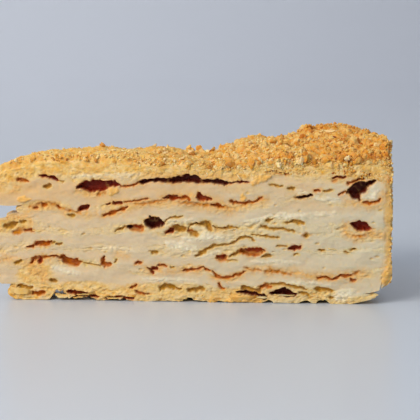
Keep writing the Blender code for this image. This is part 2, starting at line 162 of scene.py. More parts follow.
# The front's marks: a kind, and points of its middle line as (distance from the tip, height, half height)
FRONT_MARK_ROWS = [
    # under the crumbs
    (WINE, (15.9, 40.2, 0.1), (17.2, 40.1, 0.5), (19.3, 39.7, 0.4), (20.9, 39.5, 0.6), (22.0, 38.8, 0.2)),
    (OLIVE, (22.0, 38.8, 0.1), (23.8, 38.2, 0.2)),
    (OLIVE, (18.3, 36.7, 0.8), (19.0, 36.8, 0.8)),
    (BROWN, (9.4, 38.9, 0.4), (12.4, 38.3, 0.3)),
    (WINE, (28.2, 36.6, 0.3), (30.0, 37.0, 1.2), (32.6, 36.8, 1.9), (36.1, 37.0, 1.6), (38.3, 37.7, 1.0)),
    (WINE, (38.3, 37.7, 1.0), (40.2, 37.9, 0.8), (41.9, 37.2, 0.3)),
    (WHITE, (26.6, 39.9, 0.3), (33.5, 40.3, 0.5), (41.4, 40.7, 0.5), (48.3, 41.1, 0.2)),
    (GLOW, (28.1, 35.5, 0.3), (31.5, 34.5, 0.7), (36.4, 34.8, 0.7)),
    (ORANGE, (34.9, 34.4, 0.4), (36.9, 35.0, 0.4)),
    (FLAKE, (39.4, 35.3, 1.2), (40.6, 35.5, 1.0)),
    (WHITE, (39.1, 38.5, 0.4), (39.2, 37.9, 0.2)),
    (BROWN, (42.1, 36.7, 0.2), (45.5, 37.2, 0.2), (47.2, 37.9, 0.3), (48.5, 38.5, 0.4)),
    (DARK, (48.2, 38.3, 0.3), (49.6, 38.5, 0.5), (51.2, 38.8, 0.3), (54.5, 38.9, 0.5), (58.0, 38.9, 0.6)),
    (DARK, (58.0, 38.9, 0.7), (61.8, 39.3, 0.9), (64.3, 39.7, 1.1), (66.1, 39.3, 1.0), (68.7, 38.8, 0.5)),
    (DARK, (68.7, 38.8, 0.5), (72.8, 38.7, 0.6), (74.6, 38.5, 0.5), (76.1, 38.4, 0.3)),
    (WINE, (76.1, 38.4, 0.3), (78.6, 38.5, 0.2), (80.4, 38.7, 0.3), (81.6, 38.8, 0.3), (83.0, 38.8, 0.1)),
    (GLOW, (50.3, 40.5, 0.5), (60.1, 40.7, 0.5), (70.0, 40.2, 0.5), (77.9, 40.1, 0.5)),
    (FLAKE, (84.0, 38.4, 0.7), (86.3, 39.5, 1.2), (89.5, 40.2, 0.6)),
    (BROWN, (88.2, 41.9, 0.1), (91.2, 41.8, 0.2), (94.9, 41.2, 0.2)),
    (OLIVE, (89.3, 37.9, 0.1), (90.9, 37.8, 0.3), (93.3, 37.4, 0.2)),
    (OLIVE, (95.3, 37.0, 0.3), (96.6, 36.7, 0.5)),
    (RED, (109.1, 40.2, 0.2), (110.6, 40.4, 0.4), (112.0, 40.4, 0.4), (113.3, 40.8, 0.2)),
    (ORANGE, (108.8, 39.4, 0.4), (110.1, 39.2, 0.4)),
    # where the cream is smeared thick; the pale raised spots here are also painted lighter as highlights
    (WHITE, (56.4, 26.2, 0.4), (60.6, 26.0, 0.6), (65.0, 26.6, 0.4)),
    (WHITE, (64.2, 24.2, 0.4), (67.0, 23.6, 0.5), (70.0, 22.9, 0.5)),
    (WHITE, (66.0, 14.2, 0.3), (70.0, 15.6, 0.5), (74.0, 16.6, 0.4)),
    (WHITE, (109.3, 2.2, 0.9), (112.6, 1.9, 1.1)),
    (WHITE, (62.0, 20.6, 0.9), (69.5, 21.2, 1.1), (76.5, 20.6, 0.5)),
    (WHITE, (82.0, 26.0, 0.6), (91.0, 28.0, 0.9), (103.0, 28.4, 0.9), (110.0, 29.0, 0.5)),
    (WHITE, (49.0, 7.4, 0.3), (58.0, 7.2, 0.5), (66.0, 7.0, 0.4)),
    (WHITE, (92.0, 6.7, 0.4), (101.0, 6.6, 0.6), (108.0, 6.4, 0.3)),
    (WHITE, (20.5, 10.6, 0.9), (25.0, 9.6, 1.0), (28.0, 8.8, 0.5)),
    (WHITE, (57.0, 18.8, 1.0), (62.5, 17.6, 1.5), (66.0, 17.4, 0.8)),
    (GLOW, (56.0, 33.6, 1.0), (62.0, 34.0, 1.2), (70.0, 33.4, 1.0), (74.0, 31.6, 1.2)),
    (ORANGE, (60.5, 32.0, 0.3), (64.5, 31.8, 0.5), (68.5, 31.4, 0.4), (76.0, 30.4, 0.3)),
    (ORANGE, (47.0, 31.2, 0.3), (52.0, 32.0, 0.4), (56.5, 32.6, 0.3)),
    (ORANGE, (13.0, 30.2, 0.3), (19.0, 31.6, 0.4), (24.0, 29.6, 0.3), (29.0, 28.3, 0.3)),
    (WHITE, (33.0, 16.9, 0.3), (39.5, 17.2, 0.5), (46.0, 16.4, 0.3)),
    (WHITE, (84.0, 13.0, 0.4), (92.0, 13.4, 0.7), (99.0, 13.0, 0.4)),
    (WHITE, (98.0, 36.2, 0.5), (105.0, 33.6, 0.8), (111.0, 33.2, 0.6)),
    # round the fifth sheet
    (FLAKE, (9.7, 32.4, 0.8), (11.2, 32.5, 1.0), (13.7, 32.4, 0.2)),
    (GLOW, (11.7, 28.0, 0.7), (14.1, 29.6, 0.7), (17.7, 30.9, 0.9), (21.1, 30.9, 0.8), (24.8, 28.0, 0.6)),
    (GLOW, (24.8, 28.0, 0.6), (30.5, 27.9, 0.7), (38.4, 28.0, 0.8), (44.2, 29.8, 0.7), (48.5, 31.2, 0.7)),
    (GLOW, (48.5, 31.2, 0.7), (56.9, 31.8, 0.9), (65.1, 31.5, 1.1), (72.2, 30.2, 1.0), (76.9, 29.7, 0.9)),
    (GLOW, (76.9, 29.7, 0.9), (81.6, 31.2, 0.9), (88.1, 33.1, 0.9)),
    (BROWN, (14.2, 29.7, 0.3), (15.3, 29.8, 0.3)),
    (BROWN, (17.3, 30.7, 0.4), (18.2, 30.9, 0.4)),
    (BROWN, (22.0, 30.6, 0.3), (22.6, 30.0, 0.4)),
    (OLIVE, (25.4, 27.5, 0.4), (26.7, 27.5, 0.4)),
    (RED, (28.8, 29.3, 0.5), (30.0, 29.9, 1.1), (31.0, 30.5, 0.8)),
    (RED, (37.4, 31.0, 0.2), (38.6, 31.3, 0.3)),
    (RED, (40.1, 31.6, 0.5), (42.1, 31.7, 0.5)),
    (BROWN, (43.4, 32.0, 0.2), (47.2, 32.3, 0.2), (50.6, 33.2, 0.2)),
    (BROWN, (36.8, 27.9, 0.3), (38.5, 28.3, 0.5), (42.1, 29.4, 0.4), (44.2, 30.2, 0.2)),
    (RED, (55.9, 33.4, 0.3), (57.6, 33.6, 0.7), (59.6, 34.1, 0.5)),
    (RED, (57.6, 33.4, 0.5), (60.7, 33.5, 0.4)),
    (BROWN, (60.9, 33.5, 0.5), (62.8, 33.5, 0.6), (64.0, 32.8, 0.3)),
    (RED, (66.8, 34.6, 0.6), (67.3, 33.5, 0.9), (68.7, 33.3, 0.8), (70.9, 33.1, 0.2)),
    (BROWN, (70.9, 31.3, 0.2), (72.8, 31.0, 0.6), (74.6, 30.3, 0.2)),
    (BROWN, (77.2, 32.7, 0.4), (77.9, 32.1, 0.5), (79.8, 32.3, 0.3), (81.6, 32.0, 0.4), (83.3, 32.4, 0.3)),
    (BROWN, (83.3, 32.4, 0.3), (85.3, 32.7, 0.2), (87.0, 33.8, 0.3)),
    (FLAKE, (80.7, 34.6, 0.7), (81.0, 33.5, 1.0)),
    (DARK, (97.6, 33.5, 0.1), (99.5, 34.0, 0.3), (101.2, 34.3, 0.4), (102.7, 34.6, 0.2)),
    (BROWN, (103.4, 36.0, 0.4), (105.0, 36.3, 0.3)),
    (OLIVE, (106.3, 35.9, 0.3), (108.5, 36.3, 0.3)),
    (BROWN, (110.8, 35.0, 0.2), (112.2, 35.3, 0.3), (113.1, 35.8, 0.2)),
    (DARK, (113.6, 35.6, 0.3), (115.2, 36.2, 1.4), (116.8, 36.6, 2.0), (118.3, 37.2, 1.8),
     (119.6, 38.1, 1.0)),
    (DARK, (119.6, 38.1, 1.0), (122.2, 39.4, 0.3)),
    (DARK, (115.5, 35.5, 1.3), (116.7, 34.4, 0.9), (117.4, 33.7, 0.3)),
    (BROWN, (113.8, 38.4, 0.3), (116.0, 39.3, 0.3), (118.4, 40.3, 0.4), (120.8, 41.4, 0.3)),
    (ORANGE, (116.0, 39.2, 0.4), (118.2, 40.0, 0.5), (120.0, 41.1, 0.4)),
    (WHITE, (119.0, 34.3, 0.9), (120.7, 35.4, 2.1), (121.8, 36.6, 1.7)),
    (BROWN, (118.5, 32.6, 0.2), (120.7, 32.2, 0.4), (122.8, 32.6, 0.3), (123.8, 33.7, 0.3)),
    (GLOW, (113.3, 33.0, 0.9), (116.5, 32.2, 1.1), (120.7, 31.3, 1.1), (123.9, 32.6, 1.2),
     (124.7, 35.1, 0.9)),
    # in the fourth sheet
    (OLIVE, (4.9, 23.7, 0.6), (6.7, 23.9, 0.8), (8.6, 25.0, 0.4)),
    (ORANGE, (7.6, 21.8, 0.6), (9.1, 22.0, 1.0), (10.8, 22.9, 0.7)),
    (BROWN, (11.2, 22.4, 0.3), (12.7, 22.8, 0.5), (13.6, 22.4, 0.4)),
    (OLIVE, (9.9, 25.4, 0.4), (11.2, 25.5, 0.4)),
    (GLOW, (3.9, 26.0, 1.0), (8.8, 26.5, 1.2), (12.8, 25.1, 0.8)),
    (OLIVE, (40.4, 23.0, 0.2), (42.1, 23.6, 0.4), (43.5, 24.0, 0.3)),
    (DARK, (44.2, 24.0, 0.4), (45.1, 23.9, 0.6)),
    (BROWN, (45.7, 23.7, 0.8), (47.2, 23.6, 0.9), (48.5, 23.6, 0.8)),
    (RED, (45.9, 24.0, 0.3), (48.1, 23.9, 0.5)),
    (DARK, (50.0, 25.5, 0.4), (51.0, 25.2, 1.2), (52.3, 25.2, 1.7), (53.6, 25.2, 1.5), (55.2, 25.2, 0.5)),
    (DARK, (51.5, 27.2, 0.2), (51.8, 26.3, 0.4)),
    (DARK, (53.1, 26.8, 0.1), (53.3, 26.2, 0.3)),
    (OLIVE, (56.1, 25.8, 0.2), (56.9, 26.6, 0.2), (58.0, 27.4, 0.2), (59.6, 27.4, 0.3), (61.8, 27.4, 0.1)),
    (RED, (56.1, 22.3, 0.2), (57.2, 22.6, 0.5), (57.8, 22.9, 0.8)),
    (OLIVE, (58.9, 23.6, 0.8), (60.3, 23.7, 1.1), (61.8, 23.5, 0.8)),
    (OLIVE, (63.3, 22.8, 0.3), (64.7, 22.2, 0.9), (66.3, 21.9, 0.7)),
    (BROWN, (63.5, 23.2, 0.3), (64.7, 22.9, 0.3)),
    (OLIVE, (63.3, 23.7, 0.1), (63.9, 24.6, 0.2), (66.1, 25.2, 0.3), (67.9, 25.4, 0.6), (69.4, 25.2, 1.0)),
    (OLIVE, (69.4, 25.2, 1.0), (70.4, 24.0, 0.7), (71.1, 23.1, 0.2)),
    (OLIVE, (71.7, 24.5, 0.2), (74.2, 23.6, 0.2), (76.3, 24.2, 0.4), (79.4, 24.0, 0.1)),
    (GLOW, (72.0, 23.3, 0.6), (74.9, 23.3, 0.5)),
    (OLIVE, (88.1, 26.4, 0.2), (89.2, 26.6, 0.5), (90.1, 26.9, 0.3)),
    (OLIVE, (86.8, 24.7, 0.2), (87.8, 24.4, 0.4), (89.0, 23.8, 0.3), (94.4, 23.9, 0.3), (97.1, 23.0, 0.3)),
    (OLIVE, (94.0, 25.9, 0.2), (96.9, 26.3, 0.5), (98.4, 26.2, 0.6), (99.6, 25.7, 0.6)),
    (OLIVE, (83.8, 22.0, 0.1), (88.3, 21.5, 0.3), (92.2, 21.1, 0.2)),
    (ORANGE, (99.6, 21.8, 0.3), (100.9, 22.0, 0.7), (102.3, 21.9, 0.2)),
    (OLIVE, (100.6, 21.9, 0.3), (101.4, 21.8, 0.4)),
    (WINE, (114.7, 25.7, 0.3), (115.9, 25.7, 0.9), (117.3, 25.1, 1.5), (119.0, 24.8, 1.4),
     (120.0, 24.2, 0.9)),
    (RED, (120.0, 24.2, 0.9), (121.3, 24.1, 0.2)),
    (ORANGE, (115.6, 22.0, 0.2), (117.8, 21.8, 0.3), (119.6, 22.1, 0.2)),
    (GLOW, (113.0, 25.1, 1.0), (113.3, 22.9, 1.2), (116.5, 21.4, 1.2), (120.7, 22.7, 1.3),
     (125.0, 22.2, 1.2)),
    # in the third sheet
    (BROWN, (12.1, 17.0, 0.3), (13.3, 17.3, 0.6)),
    (BROWN, (14.8, 18.0, 0.7), (16.3, 18.3, 0.9), (18.0, 18.4, 0.8), (19.0, 18.9, 0.4)),
    (OLIVE, (19.3, 18.3, 0.2), (20.7, 18.7, 0.3)),
    (OLIVE, (21.5, 18.3, 0.4), (22.6, 18.4, 0.4)),
    (OLIVE, (52.2, 16.0, 0.4), (53.3, 16.0, 0.4)),
    (OLIVE, (65.8, 14.9, 0.2), (67.4, 15.9, 0.5), (69.4, 17.0, 0.5), (71.7, 18.2, 0.4), (73.0, 18.3, 0.2)),
    (OLIVE, (73.0, 18.3, 0.2), (76.8, 18.7, 0.2), (79.8, 20.8, 0.4), (81.6, 21.4, 0.3), (84.2, 20.1, 0.2)),
    (BROWN, (72.7, 14.5, 0.6), (73.8, 14.2, 1.0), (74.8, 14.3, 0.9)),
    (RED, (73.0, 14.4, 0.4), (74.4, 14.4, 0.6)),
    (OLIVE, (75.5, 13.6, 0.2), (78.9, 13.7, 0.1)),
    (OLIVE, (76.3, 14.7, 0.2), (78.1, 15.7, 0.5), (80.4, 16.3, 0.8)),
    (BROWN, (80.4, 16.4, 0.7), (82.7, 16.4, 1.1), (84.8, 16.3, 1.3), (86.5, 16.8, 0.9), (87.7, 17.0, 0.3)),
    (RED, (81.8, 16.9, 0.3), (83.4, 16.9, 0.6), (85.4, 16.9, 0.8), (86.8, 17.0, 0.5)),
    (OLIVE, (87.0, 14.9, 0.2), (88.9, 15.5, 0.6), (89.8, 15.2, 0.2)),
    (OLIVE, (91.8, 18.4, 0.2), (94.8, 18.6, 0.2)),
    (RED, (95.5, 17.9, 0.3), (96.7, 17.7, 0.7), (98.0, 18.0, 0.6), (99.0, 18.2, 0.2)),
    (OLIVE, (97.1, 15.7, 0.2), (98.2, 15.9, 0.2)),
    (OLIVE, (105.2, 17.1, 0.3), (106.5, 17.2, 0.3)),
    (OLIVE, (113.0, 16.7, 0.2), (114.1, 16.5, 0.2)),
    (OLIVE, (115.0, 17.6, 0.3), (116.3, 17.7, 0.3)),
    # round the second sheet
    (GLOW, (3.6, 13.5, 1.0), (7.8, 12.7, 0.9), (12.5, 12.3, 0.8), (16.3, 13.0, 1.1), (20.6, 14.4, 0.8)),
    (OLIVE, (8.4, 12.1, 0.4), (9.5, 12.5, 0.5)),
    (BROWN, (13.5, 12.1, 0.4), (14.1, 13.3, 0.5), (16.3, 13.7, 0.6)),
    (RED, (16.1, 13.5, 0.5), (16.1, 12.4, 0.6)),
    (BROWN, (16.6, 13.9, 0.3), (18.8, 14.2, 0.2), (20.6, 14.5, 0.3), (22.8, 14.0, 0.4)),
    (BROWN, (23.0, 14.0, 0.6), (23.9, 13.4, 1.0), (25.6, 12.7, 1.1), (27.3, 12.3, 1.2), (28.4, 12.3, 0.5)),
    (OLIVE, (28.7, 12.6, 0.1), (30.7, 11.9, 0.1), (35.4, 11.4, 0.1)),
    (BROWN, (36.2, 14.2, 0.4), (36.0, 12.2, 0.6), (37.0, 11.6, 0.7), (38.1, 11.7, 0.5)),
    (OLIVE, (40.0, 12.5, 0.2), (40.4, 13.4, 0.3)),
    (GLOW, (40.9, 14.8, 0.7), (43.8, 14.5, 0.6)),
    (BROWN, (46.8, 12.6, 0.4), (48.2, 12.5, 0.5)),
    (GLOW, (50.2, 10.4, 0.8), (54.8, 10.2, 1.0), (61.1, 10.1, 0.9), (66.8, 10.2, 0.8)),
    (RED, (50.4, 10.7, 0.2), (51.6, 10.2, 0.5), (52.2, 9.1, 0.4)),
    (RED, (52.0, 10.8, 0.5), (53.9, 10.7, 0.3)),
    (BROWN, (53.7, 11.7, 0.2), (54.9, 12.0, 0.4), (56.6, 11.3, 0.2)),
    (OLIVE, (58.0, 11.3, 0.2), (59.0, 11.2, 0.2)),
    (BROWN, (62.2, 10.3, 0.4), (63.3, 10.4, 0.4), (66.4, 10.6, 0.2), (68.3, 11.3, 0.2)),
    (BROWN, (68.3, 11.3, 0.1), (69.4, 10.7, 0.4), (70.1, 10.1, 0.2)),
    (GLOW, (71.0, 8.3, 0.6), (75.9, 7.7, 0.9), (80.9, 9.3, 0.7), (83.8, 10.8, 0.8), (89.7, 10.5, 1.0)),
    (BROWN, (71.0, 10.0, 0.1), (72.4, 8.6, 0.3), (74.8, 8.0, 0.4), (77.2, 8.1, 0.3), (79.8, 9.2, 0.3)),
    (BROWN, (79.8, 9.2, 0.3), (81.4, 10.1, 0.1)),
    (ORANGE, (81.3, 11.6, 0.2), (82.7, 10.9, 0.2), (86.8, 10.5, 0.2)),
    (ORANGE, (88.1, 10.3, 0.3), (90.7, 10.2, 0.5), (96.3, 9.6, 0.3)),
    (GLOW, (89.7, 10.5, 1.0), (97.4, 10.0, 1.1), (100.6, 8.8, 1.2), (105.8, 8.6, 1.0)),
    (GLOW, (105.8, 8.6, 1.0), (112.2, 8.9, 1.3), (116.5, 9.2, 1.5), (119.3, 9.9, 1.1)),
    (BROWN, (104.6, 8.3, 0.2), (107.1, 8.6, 0.3), (109.1, 7.9, 0.3), (111.6, 9.1, 0.4), (115.0, 9.1, 0.3)),
    (ORANGE, (115.2, 9.3, 0.3), (117.5, 10.5, 0.3)),
    (BROWN, (115.1, 7.6, 0.4), (116.7, 7.7, 0.2)),
    # in the bottom sheet
    (WHITE, (9.8, 5.3, 0.2), (15.5, 3.0, 0.3)),
    (GLOW, (13.3, 10.5, 1.0), (16.7, 8.3, 1.3), (16.7, 5.9, 0.9)),
    (OLIVE, (19.8, 6.5, 0.6), (20.6, 6.5, 0.6)),
    (OLIVE, (8.8, 4.3, 0.5), (12.8, 3.9, 0.4)),
    (BROWN, (12.8, 2.2, 0.5), (16.9, 2.0, 0.6)),
    # red-brown hollows over the foot's gaps: the browned underside, painted darker as the shade of the gaps
    (RED, (25.0, 2.7, 0.5), (28.1, 2.4, 0.8), (31.5, 1.7, 0.6), (34.5, 1.2, 0.3)),
    (RED, (36.9, 1.0, 0.3), (41.9, 1.2, 0.4), (45.8, 0.9, 0.3)),
    (BROWN, (45.0, 4.2, 0.3), (45.7, 4.8, 0.3), (46.7, 5.2, 0.3)),
    (BROWN, (46.7, 3.3, 0.3), (47.7, 2.7, 0.4), (49.5, 2.3, 0.3), (51.0, 2.5, 0.3)),
    (OLIVE, (54.4, 4.4, 0.6), (56.1, 4.9, 0.8), (58.0, 4.9, 0.7), (59.5, 4.4, 0.4), (61.3, 4.3, 0.2)),
    (OLIVE, (63.7, 3.8, 0.6), (65.6, 4.0, 0.7), (68.1, 4.4, 0.6)),
    (BROWN, (73.0, 6.2, 0.2), (74.2, 4.6, 0.4), (75.1, 4.5, 0.3)),
    (OLIVE, (88.0, 6.0, 0.2), (93.0, 6.2, 0.4), (98.0, 5.4, 0.4), (101.0, 4.6, 0.2)),
    (OLIVE, (81.4, 4.5, 0.8), (83.8, 4.2, 0.8), (86.1, 4.0, 0.8)),
    (BROWN, (86.8, 4.9, 0.5), (87.8, 5.6, 0.4), (89.8, 5.3, 0.3)),
    # dark hollows along the foot, painted dark also as the shade of the gaps under it
    (DARK, (79.1, 3.4, 0.2), (81.8, 3.2, 0.4), (84.4, 2.9, 0.4), (86.1, 2.2, 0.5), (88.1, 1.9, 0.6)),
    (DARK, (89.7, 2.9, 0.2), (91.4, 3.4, 0.8), (93.3, 3.9, 1.2), (95.3, 3.3, 1.1), (97.7, 2.7, 0.2)),
    (FLAKE, (75.7, 0.4, 0.4), (78.5, 1.3, 1.1), (81.6, 1.3, 1.2), (84.8, 1.2, 1.0), (86.8, 0.5, 0.3)),
    (FLAKE, (70.7, 1.0, 0.8), (71.7, 1.0, 0.9)),
    (OLIVE, (99.1, 3.5, 0.4), (101.9, 2.8, 0.4)),
    (OLIVE, (104.2, 4.6, 0.6), (108.8, 4.3, 0.5)),
    (OLIVE, (108.6, 2.0, 0.4), (109.1, 2.0, 0.4)),
    (WHITE, (110.8, 3.1, 1.3), (113.3, 3.5, 1.6), (115.6, 3.9, 1.2)),
    (FLAKE, (127.2, 11.6, 0.9), (126.4, 9.4, 1.0), (125.6, 7.4, 0.8)),
    (GLOW, (126.6, 40.0, 1.6), (127.4, 28.0, 1.0), (127.4, 16.0, 0.9), (126.4, 9.0, 1.4)),
]
FRONT_MARKS = [Mark(kind, spine) for kind, *spine in FRONT_MARK_ROWS]
FRONT_SEED = 100
BACK_SEED = 300
BACK_MARKS_SEED = 12
BACK_MARKS_KEPT = 0.8
BACK_MARKS_START = 4  # from the tip
BACK_MARKS_REACH = SLICE_LENGTH - 10
BACK_MARKS_TALLEST = 8.0  # those along the rim are taller and stay off the back

# Where the bottom sheet's foot stands clear of the surface under it: middle, half of the length, and rise
FOOT_GAPS = [
    (29.0, 5.0, 1.7),
    (40.8, 4.6, 0.8),
    (55.5, 3.5, 0.3),
    (63.4, 1.9, 1.7),
    (66.5, 3.8, 0.6),
    (73.5, 1.4, 0.6),
    (88.8, 1.9, 0.9),
    (100.7, 2.1, 1.1),
    (106.4, 2.3, 1.3),
]
BACK_FOOT_GAPS = [(33.0, 6.0, 1.4), (52.0, 5.0, 1.9), (71.0, 6.5, 1.1), (90.0, 5.0, 2.0), (108.0, 5.5, 1.3)]
TUNNEL = (22.0, 3.3, 3.1)  # the same for a gap that goes right through near the tip

# Crumbly patches on the cuts: the middle, how far each reaches along and up, and how strongly it shows
CRUMBLY_PATCHES = [
    (4.0, 25.0, 9.0, 3.4, 0.9),
    (14.5, 8.2, 7.0, 4.6, 0.9),
    (9.0, 2.4, 7.0, 3.2, 1.0),
    (5.0, 36.0, 8.0, 2.2, 0.6),
    (34.0, 34.7, 6.0, 1.3, 0.7),
    (18.0, 30.6, 8.0, 1.7, 0.7),
    (30.0, 4.9, 13.0, 1.5, 0.8),
    (52.0, 4.0, 14.0, 2.2, 0.7),
    (80.0, 2.5, 14.0, 2.2, 0.5),
    (46.0, 32.0, 14.0, 1.4, 0.4),
    (80.0, 36.5, 7.0, 1.8, 0.3),
    (104.0, 39.6, 14.0, 1.2, 0.35),
    (127.0, 8.6, 3.0, 3.0, 1.0),
    (127.0, 44.0, 5.5, 7.0, 0.9),
    (127.8, 30.0, 2.6, 9.0, 0.8),
    (127.8, 16.0, 2.6, 7.0, 0.7),
]

# How low the crumbs reach on the cuts: (distance from the tip, height)
CRUMB_REACH = [
    (0, 37.2),
    (16, 39.4),
    (24, 40.4),
    (48, 40.4),
    (54, 39.8),
    (84, 39.4),
    (95, 40.8),
    (112, 40.6),
    (128, 38.0),
]
BACK_CRUMB_REACH = [(0, 38.5), (30, 40.0), (60, 39.4), (90, 40.4), (128, 40.0)]

# The loose crumbs: how many, their sizes, how finely each is faceted, and which share lies on the cuts
Scatter = namedtuple("Scatter", "name count smallest largest facets on_cuts seed")
FINE_CRUMBS = Scatter("fine_crumbs", 9800, 0.4, 1.0, 1, 0.22, 21)
MEDIUM_CRUMBS = Scatter("medium_crumbs", 2400, 0.9, 2.1, 2, 0.26, 22)
COARSE_CRUMBS = Scatter("coarse_crumbs", 330, 1.9, 4.0, 3, 0.30, 23)
COAT_FINE_CRUMBS = Scatter("coat_fine_crumbs", 3600, 0.4, 1.0, 1, 0.0, 24)
COAT_MEDIUM_CRUMBS = Scatter("coat_medium_crumbs", 620, 0.9, 2.0, 2, 0.0, 25)

# Single crumbs that catch the eye on the front: (distance from the tip, height, size, how browned)
FRONT_CRUMBS = [
    (20.4, 48.0, 1.7, 0.42),
    (24.8, 45.5, 1.3, 0.48),
    (31.2, 47.8, 2.0, 0.38),
    (40.2, 47.5, 1.7, 0.40),
    (51.6, 46.3, 1.4, 0.45),
    (54.4, 44.2, 2.4, 0.36),
    (55.4, 47.3, 2.2, 0.50),
    (63.4, 47.4, 2.4, 0.36),
    (70.2, 46.4, 1.9, 0.50),
    (76.6, 48.4, 3.6, 0.46),
    (79.5, 40.5, 2.2, 0.05),
    (83.6, 47.4, 3.8, 0.42),
    (86.0, 45.8, 2.4, 0.44),
    (89.1, 48.0, 2.6, 0.40),
    (92.3, 44.3, 3.4, 0.04),
    (94.0, 47.2, 2.4, 0.42),
    (99.7, 48.6, 3.2, 0.04),
    (98.2, 45.6, 2.0, 0.12),
    (100.8, 46.4, 2.8, 0.48),
    (103.0, 47.4, 2.0, 0.48),
    (106.5, 50.0, 3.0, 0.38),
    (111.9, 47.6, 2.8, 0.46),
    (113.4, 50.4, 2.6, 0.04),
    (116.4, 47.0, 2.2, 0.42),
    (119.0, 48.0, 2.6, 0.38),
    (123.6, 47.4, 2.4, 0.42),
    (125.9, 49.6, 2.6, 0.55),
]


# ---------------------------------------------------------------- noise
#
# Noise is mostly asked for as strength * ripple(distance / length, height / tall, seed). Length and tall are
# the size of its features in millimetres, and the seed tells one use's noise from another's.


def lerp(low, high, share):
    return low + (high - low) * share


def smooth(low, high, value):
    """Rises from 0 at low to 1 at high, smoothly."""
    share = np.clip((value - low) / (high - low), 0, 1)
    return share * share * (3 - 2 * share)


def hashed(column, row, seed):
    """A random number from 0 to 1 for each cell of a grid."""
    mixed = (column * 374761393 + row * 668265263 + seed * 974634777) & 0xFFFFFFFF
    mixed = ((mixed ^ (mixed >> 13)) * 1274126177) & 0xFFFFFFFF
    mixed = ((mixed ^ (mixed >> 15)) * 668265263) & 0xFFFFFFFF
    return (mixed ^ (mixed >> 16)) / 0xFFFFFFFF


def ripple(across, up, seed):
    """Smooth noise from -1 to 1, with features of size 1."""
    column, row = np.floor(across).astype(np.int64), np.floor(up).astype(np.int64)
    right, above = across - column, up - row
    right = right * right * (3 - 2 * right)
    above = above * above * (3 - 2 * above)
    low = lerp(hashed(column, row, seed), hashed(column + 1, row, seed), right)
    high = lerp(hashed(column, row + 1, seed), hashed(column + 1, row + 1, seed), right)
    return lerp(low, high, above) * 2 - 1


def ripples(across, up, seed, *sizes):
    """Ripples of several sizes on each other, each given as (strength, length, tall)."""
    return sum(
        strength * ripple(across / length, up / tall, seed + number)
        for number, (strength, length, tall) in enumerate(sizes)
    )


def layered(across, up, seed, octaves=3):
    """Noise with finer and weaker noise on it."""
    total, weight = 0.0, 0.0
    for octave in range(octaves):
        total = total + ripple(across * 2**octave, up * 2**octave, seed + octave * 7) * 0.5**octave
        weight += 0.5**octave
    return total / weight


def grains(across, up, seed):
    """The distance from each place to the nearest of many random points, and that point's own number."""
    column, row = np.floor(across).astype(np.int64), np.floor(up).astype(np.int64)
    nearest = np.full(across.shape, 9.0)
    number = np.zeros(across.shape)
    for step in np.ndindex(3, 3):
        there, over = column + step[0] - 1, row + step[1] - 1
        away = np.hypot(
            there + hashed(there, over, seed) - across,
            over + hashed(there, over, seed + 1) - up,
        )
        number = np.where(away < nearest, hashed(there, over, seed + 2), number)
        nearest = np.minimum(nearest, away)
    return nearest, number


# ---------------------------------------------------------------- the slice's form


def plan_point(distance, across):
    """The place in plan at a distance from the tip, from the front cut (across 0) to the back cut (1)."""
    angle = SLICE_ANGLE * across
    return distance * np.cos(angle) - ORIGIN_X, distance * np.sin(angle) + TIP_WIDTH * across - ORIGIN_Y


def width_at(distance):
    return distance * SLICE_ANGLE + TIP_WIDTH


def place_in_slice(distance, across, height):
    """Places as rows of (x, y, z)."""
    return np.stack([*plan_point(distance, across), height], axis=-1)


def swelled(boundary, distance):
    height, swells = boundary
    return height + sum(rise * np.exp(-(((distance - at) / reach) ** 2)) for at, rise, reach in swells)


def wave(number, distance, across):
    """What a boundary gains away from the front cut."""
    full_distance, full_across = WAVE_START
    growth = np.minimum(1.0, across / full_across) * np.minimum(1.0, distance / full_distance)
    places = zip(np.ravel(distance / WAVE_LENGTH), np.ravel(across * WAVES_ACROSS))
    drift = [noise.noise(Vector((along, over, number * 3.7))) for along, over in places]
    return BACK_WAVE * growth * np.reshape(drift, np.shape(distance))


def boundary_height(number, distance, across):
    """The height of boundary number, counted from 0 under the bottom sheet."""
    distance, across = np.broadcast_arrays(np.asarray(distance, float), np.asarray(across, float))
    if number == 0:
        return np.zeros(distance.shape)
    below = boundary_height(number - 1, distance, across)
    height = swelled(BOUNDARIES[number - 1], distance) + wave(number, distance, across)
    return np.maximum(height, below + THINNEST_LAYER)


def top_height(distance, across):
    """The height of the topping between its crumbs."""
    distance, across = np.broadcast_arrays(np.asarray(distance, float), np.asarray(across, float))
    rise, reach = RIM_MOUND
    drop, slumped = TOP_EDGE_DROP
    mound = rise * (1 - (1 - np.minimum(1.0, across / MOUND_EDGE)) ** 2)
    mound = mound * np.exp(-(((SLICE_LENGTH - distance) / reach) ** 2))
    edge = np.maximum(0.0, 1 - np.minimum(across, 1 - across) / slumped) ** 2
    height = swelled(TOP, distance) + mound - drop * edge + wave(len(BOUNDARIES) + 1, distance, across)
    return np.maximum(height, boundary_height(len(BOUNDARIES), distance, across) + THINNEST_LAYER)


# ---------------------------------------------------------------- the cut faces


class Cut:
    """One cut of the slice: front (across 0) or back (across 1)."""

    def __init__(self, across, marks, crumb_reach, seed):
        self.across = across
        self.marks = sorted(marks, key=lambda one: one.kind.order)
        self.crumb_reach = crumb_reach
        self.seed = seed
        self.stations = np.arange(0.0, SLICE_LENGTH + 2, 0.5)
        self.heights = [boundary_height(number, self.stations, across) for number in BOUNDARY_NUMBERS]

    def boundary(self, number, distance):
        return np.interp(distance, self.stations, self.heights[number])


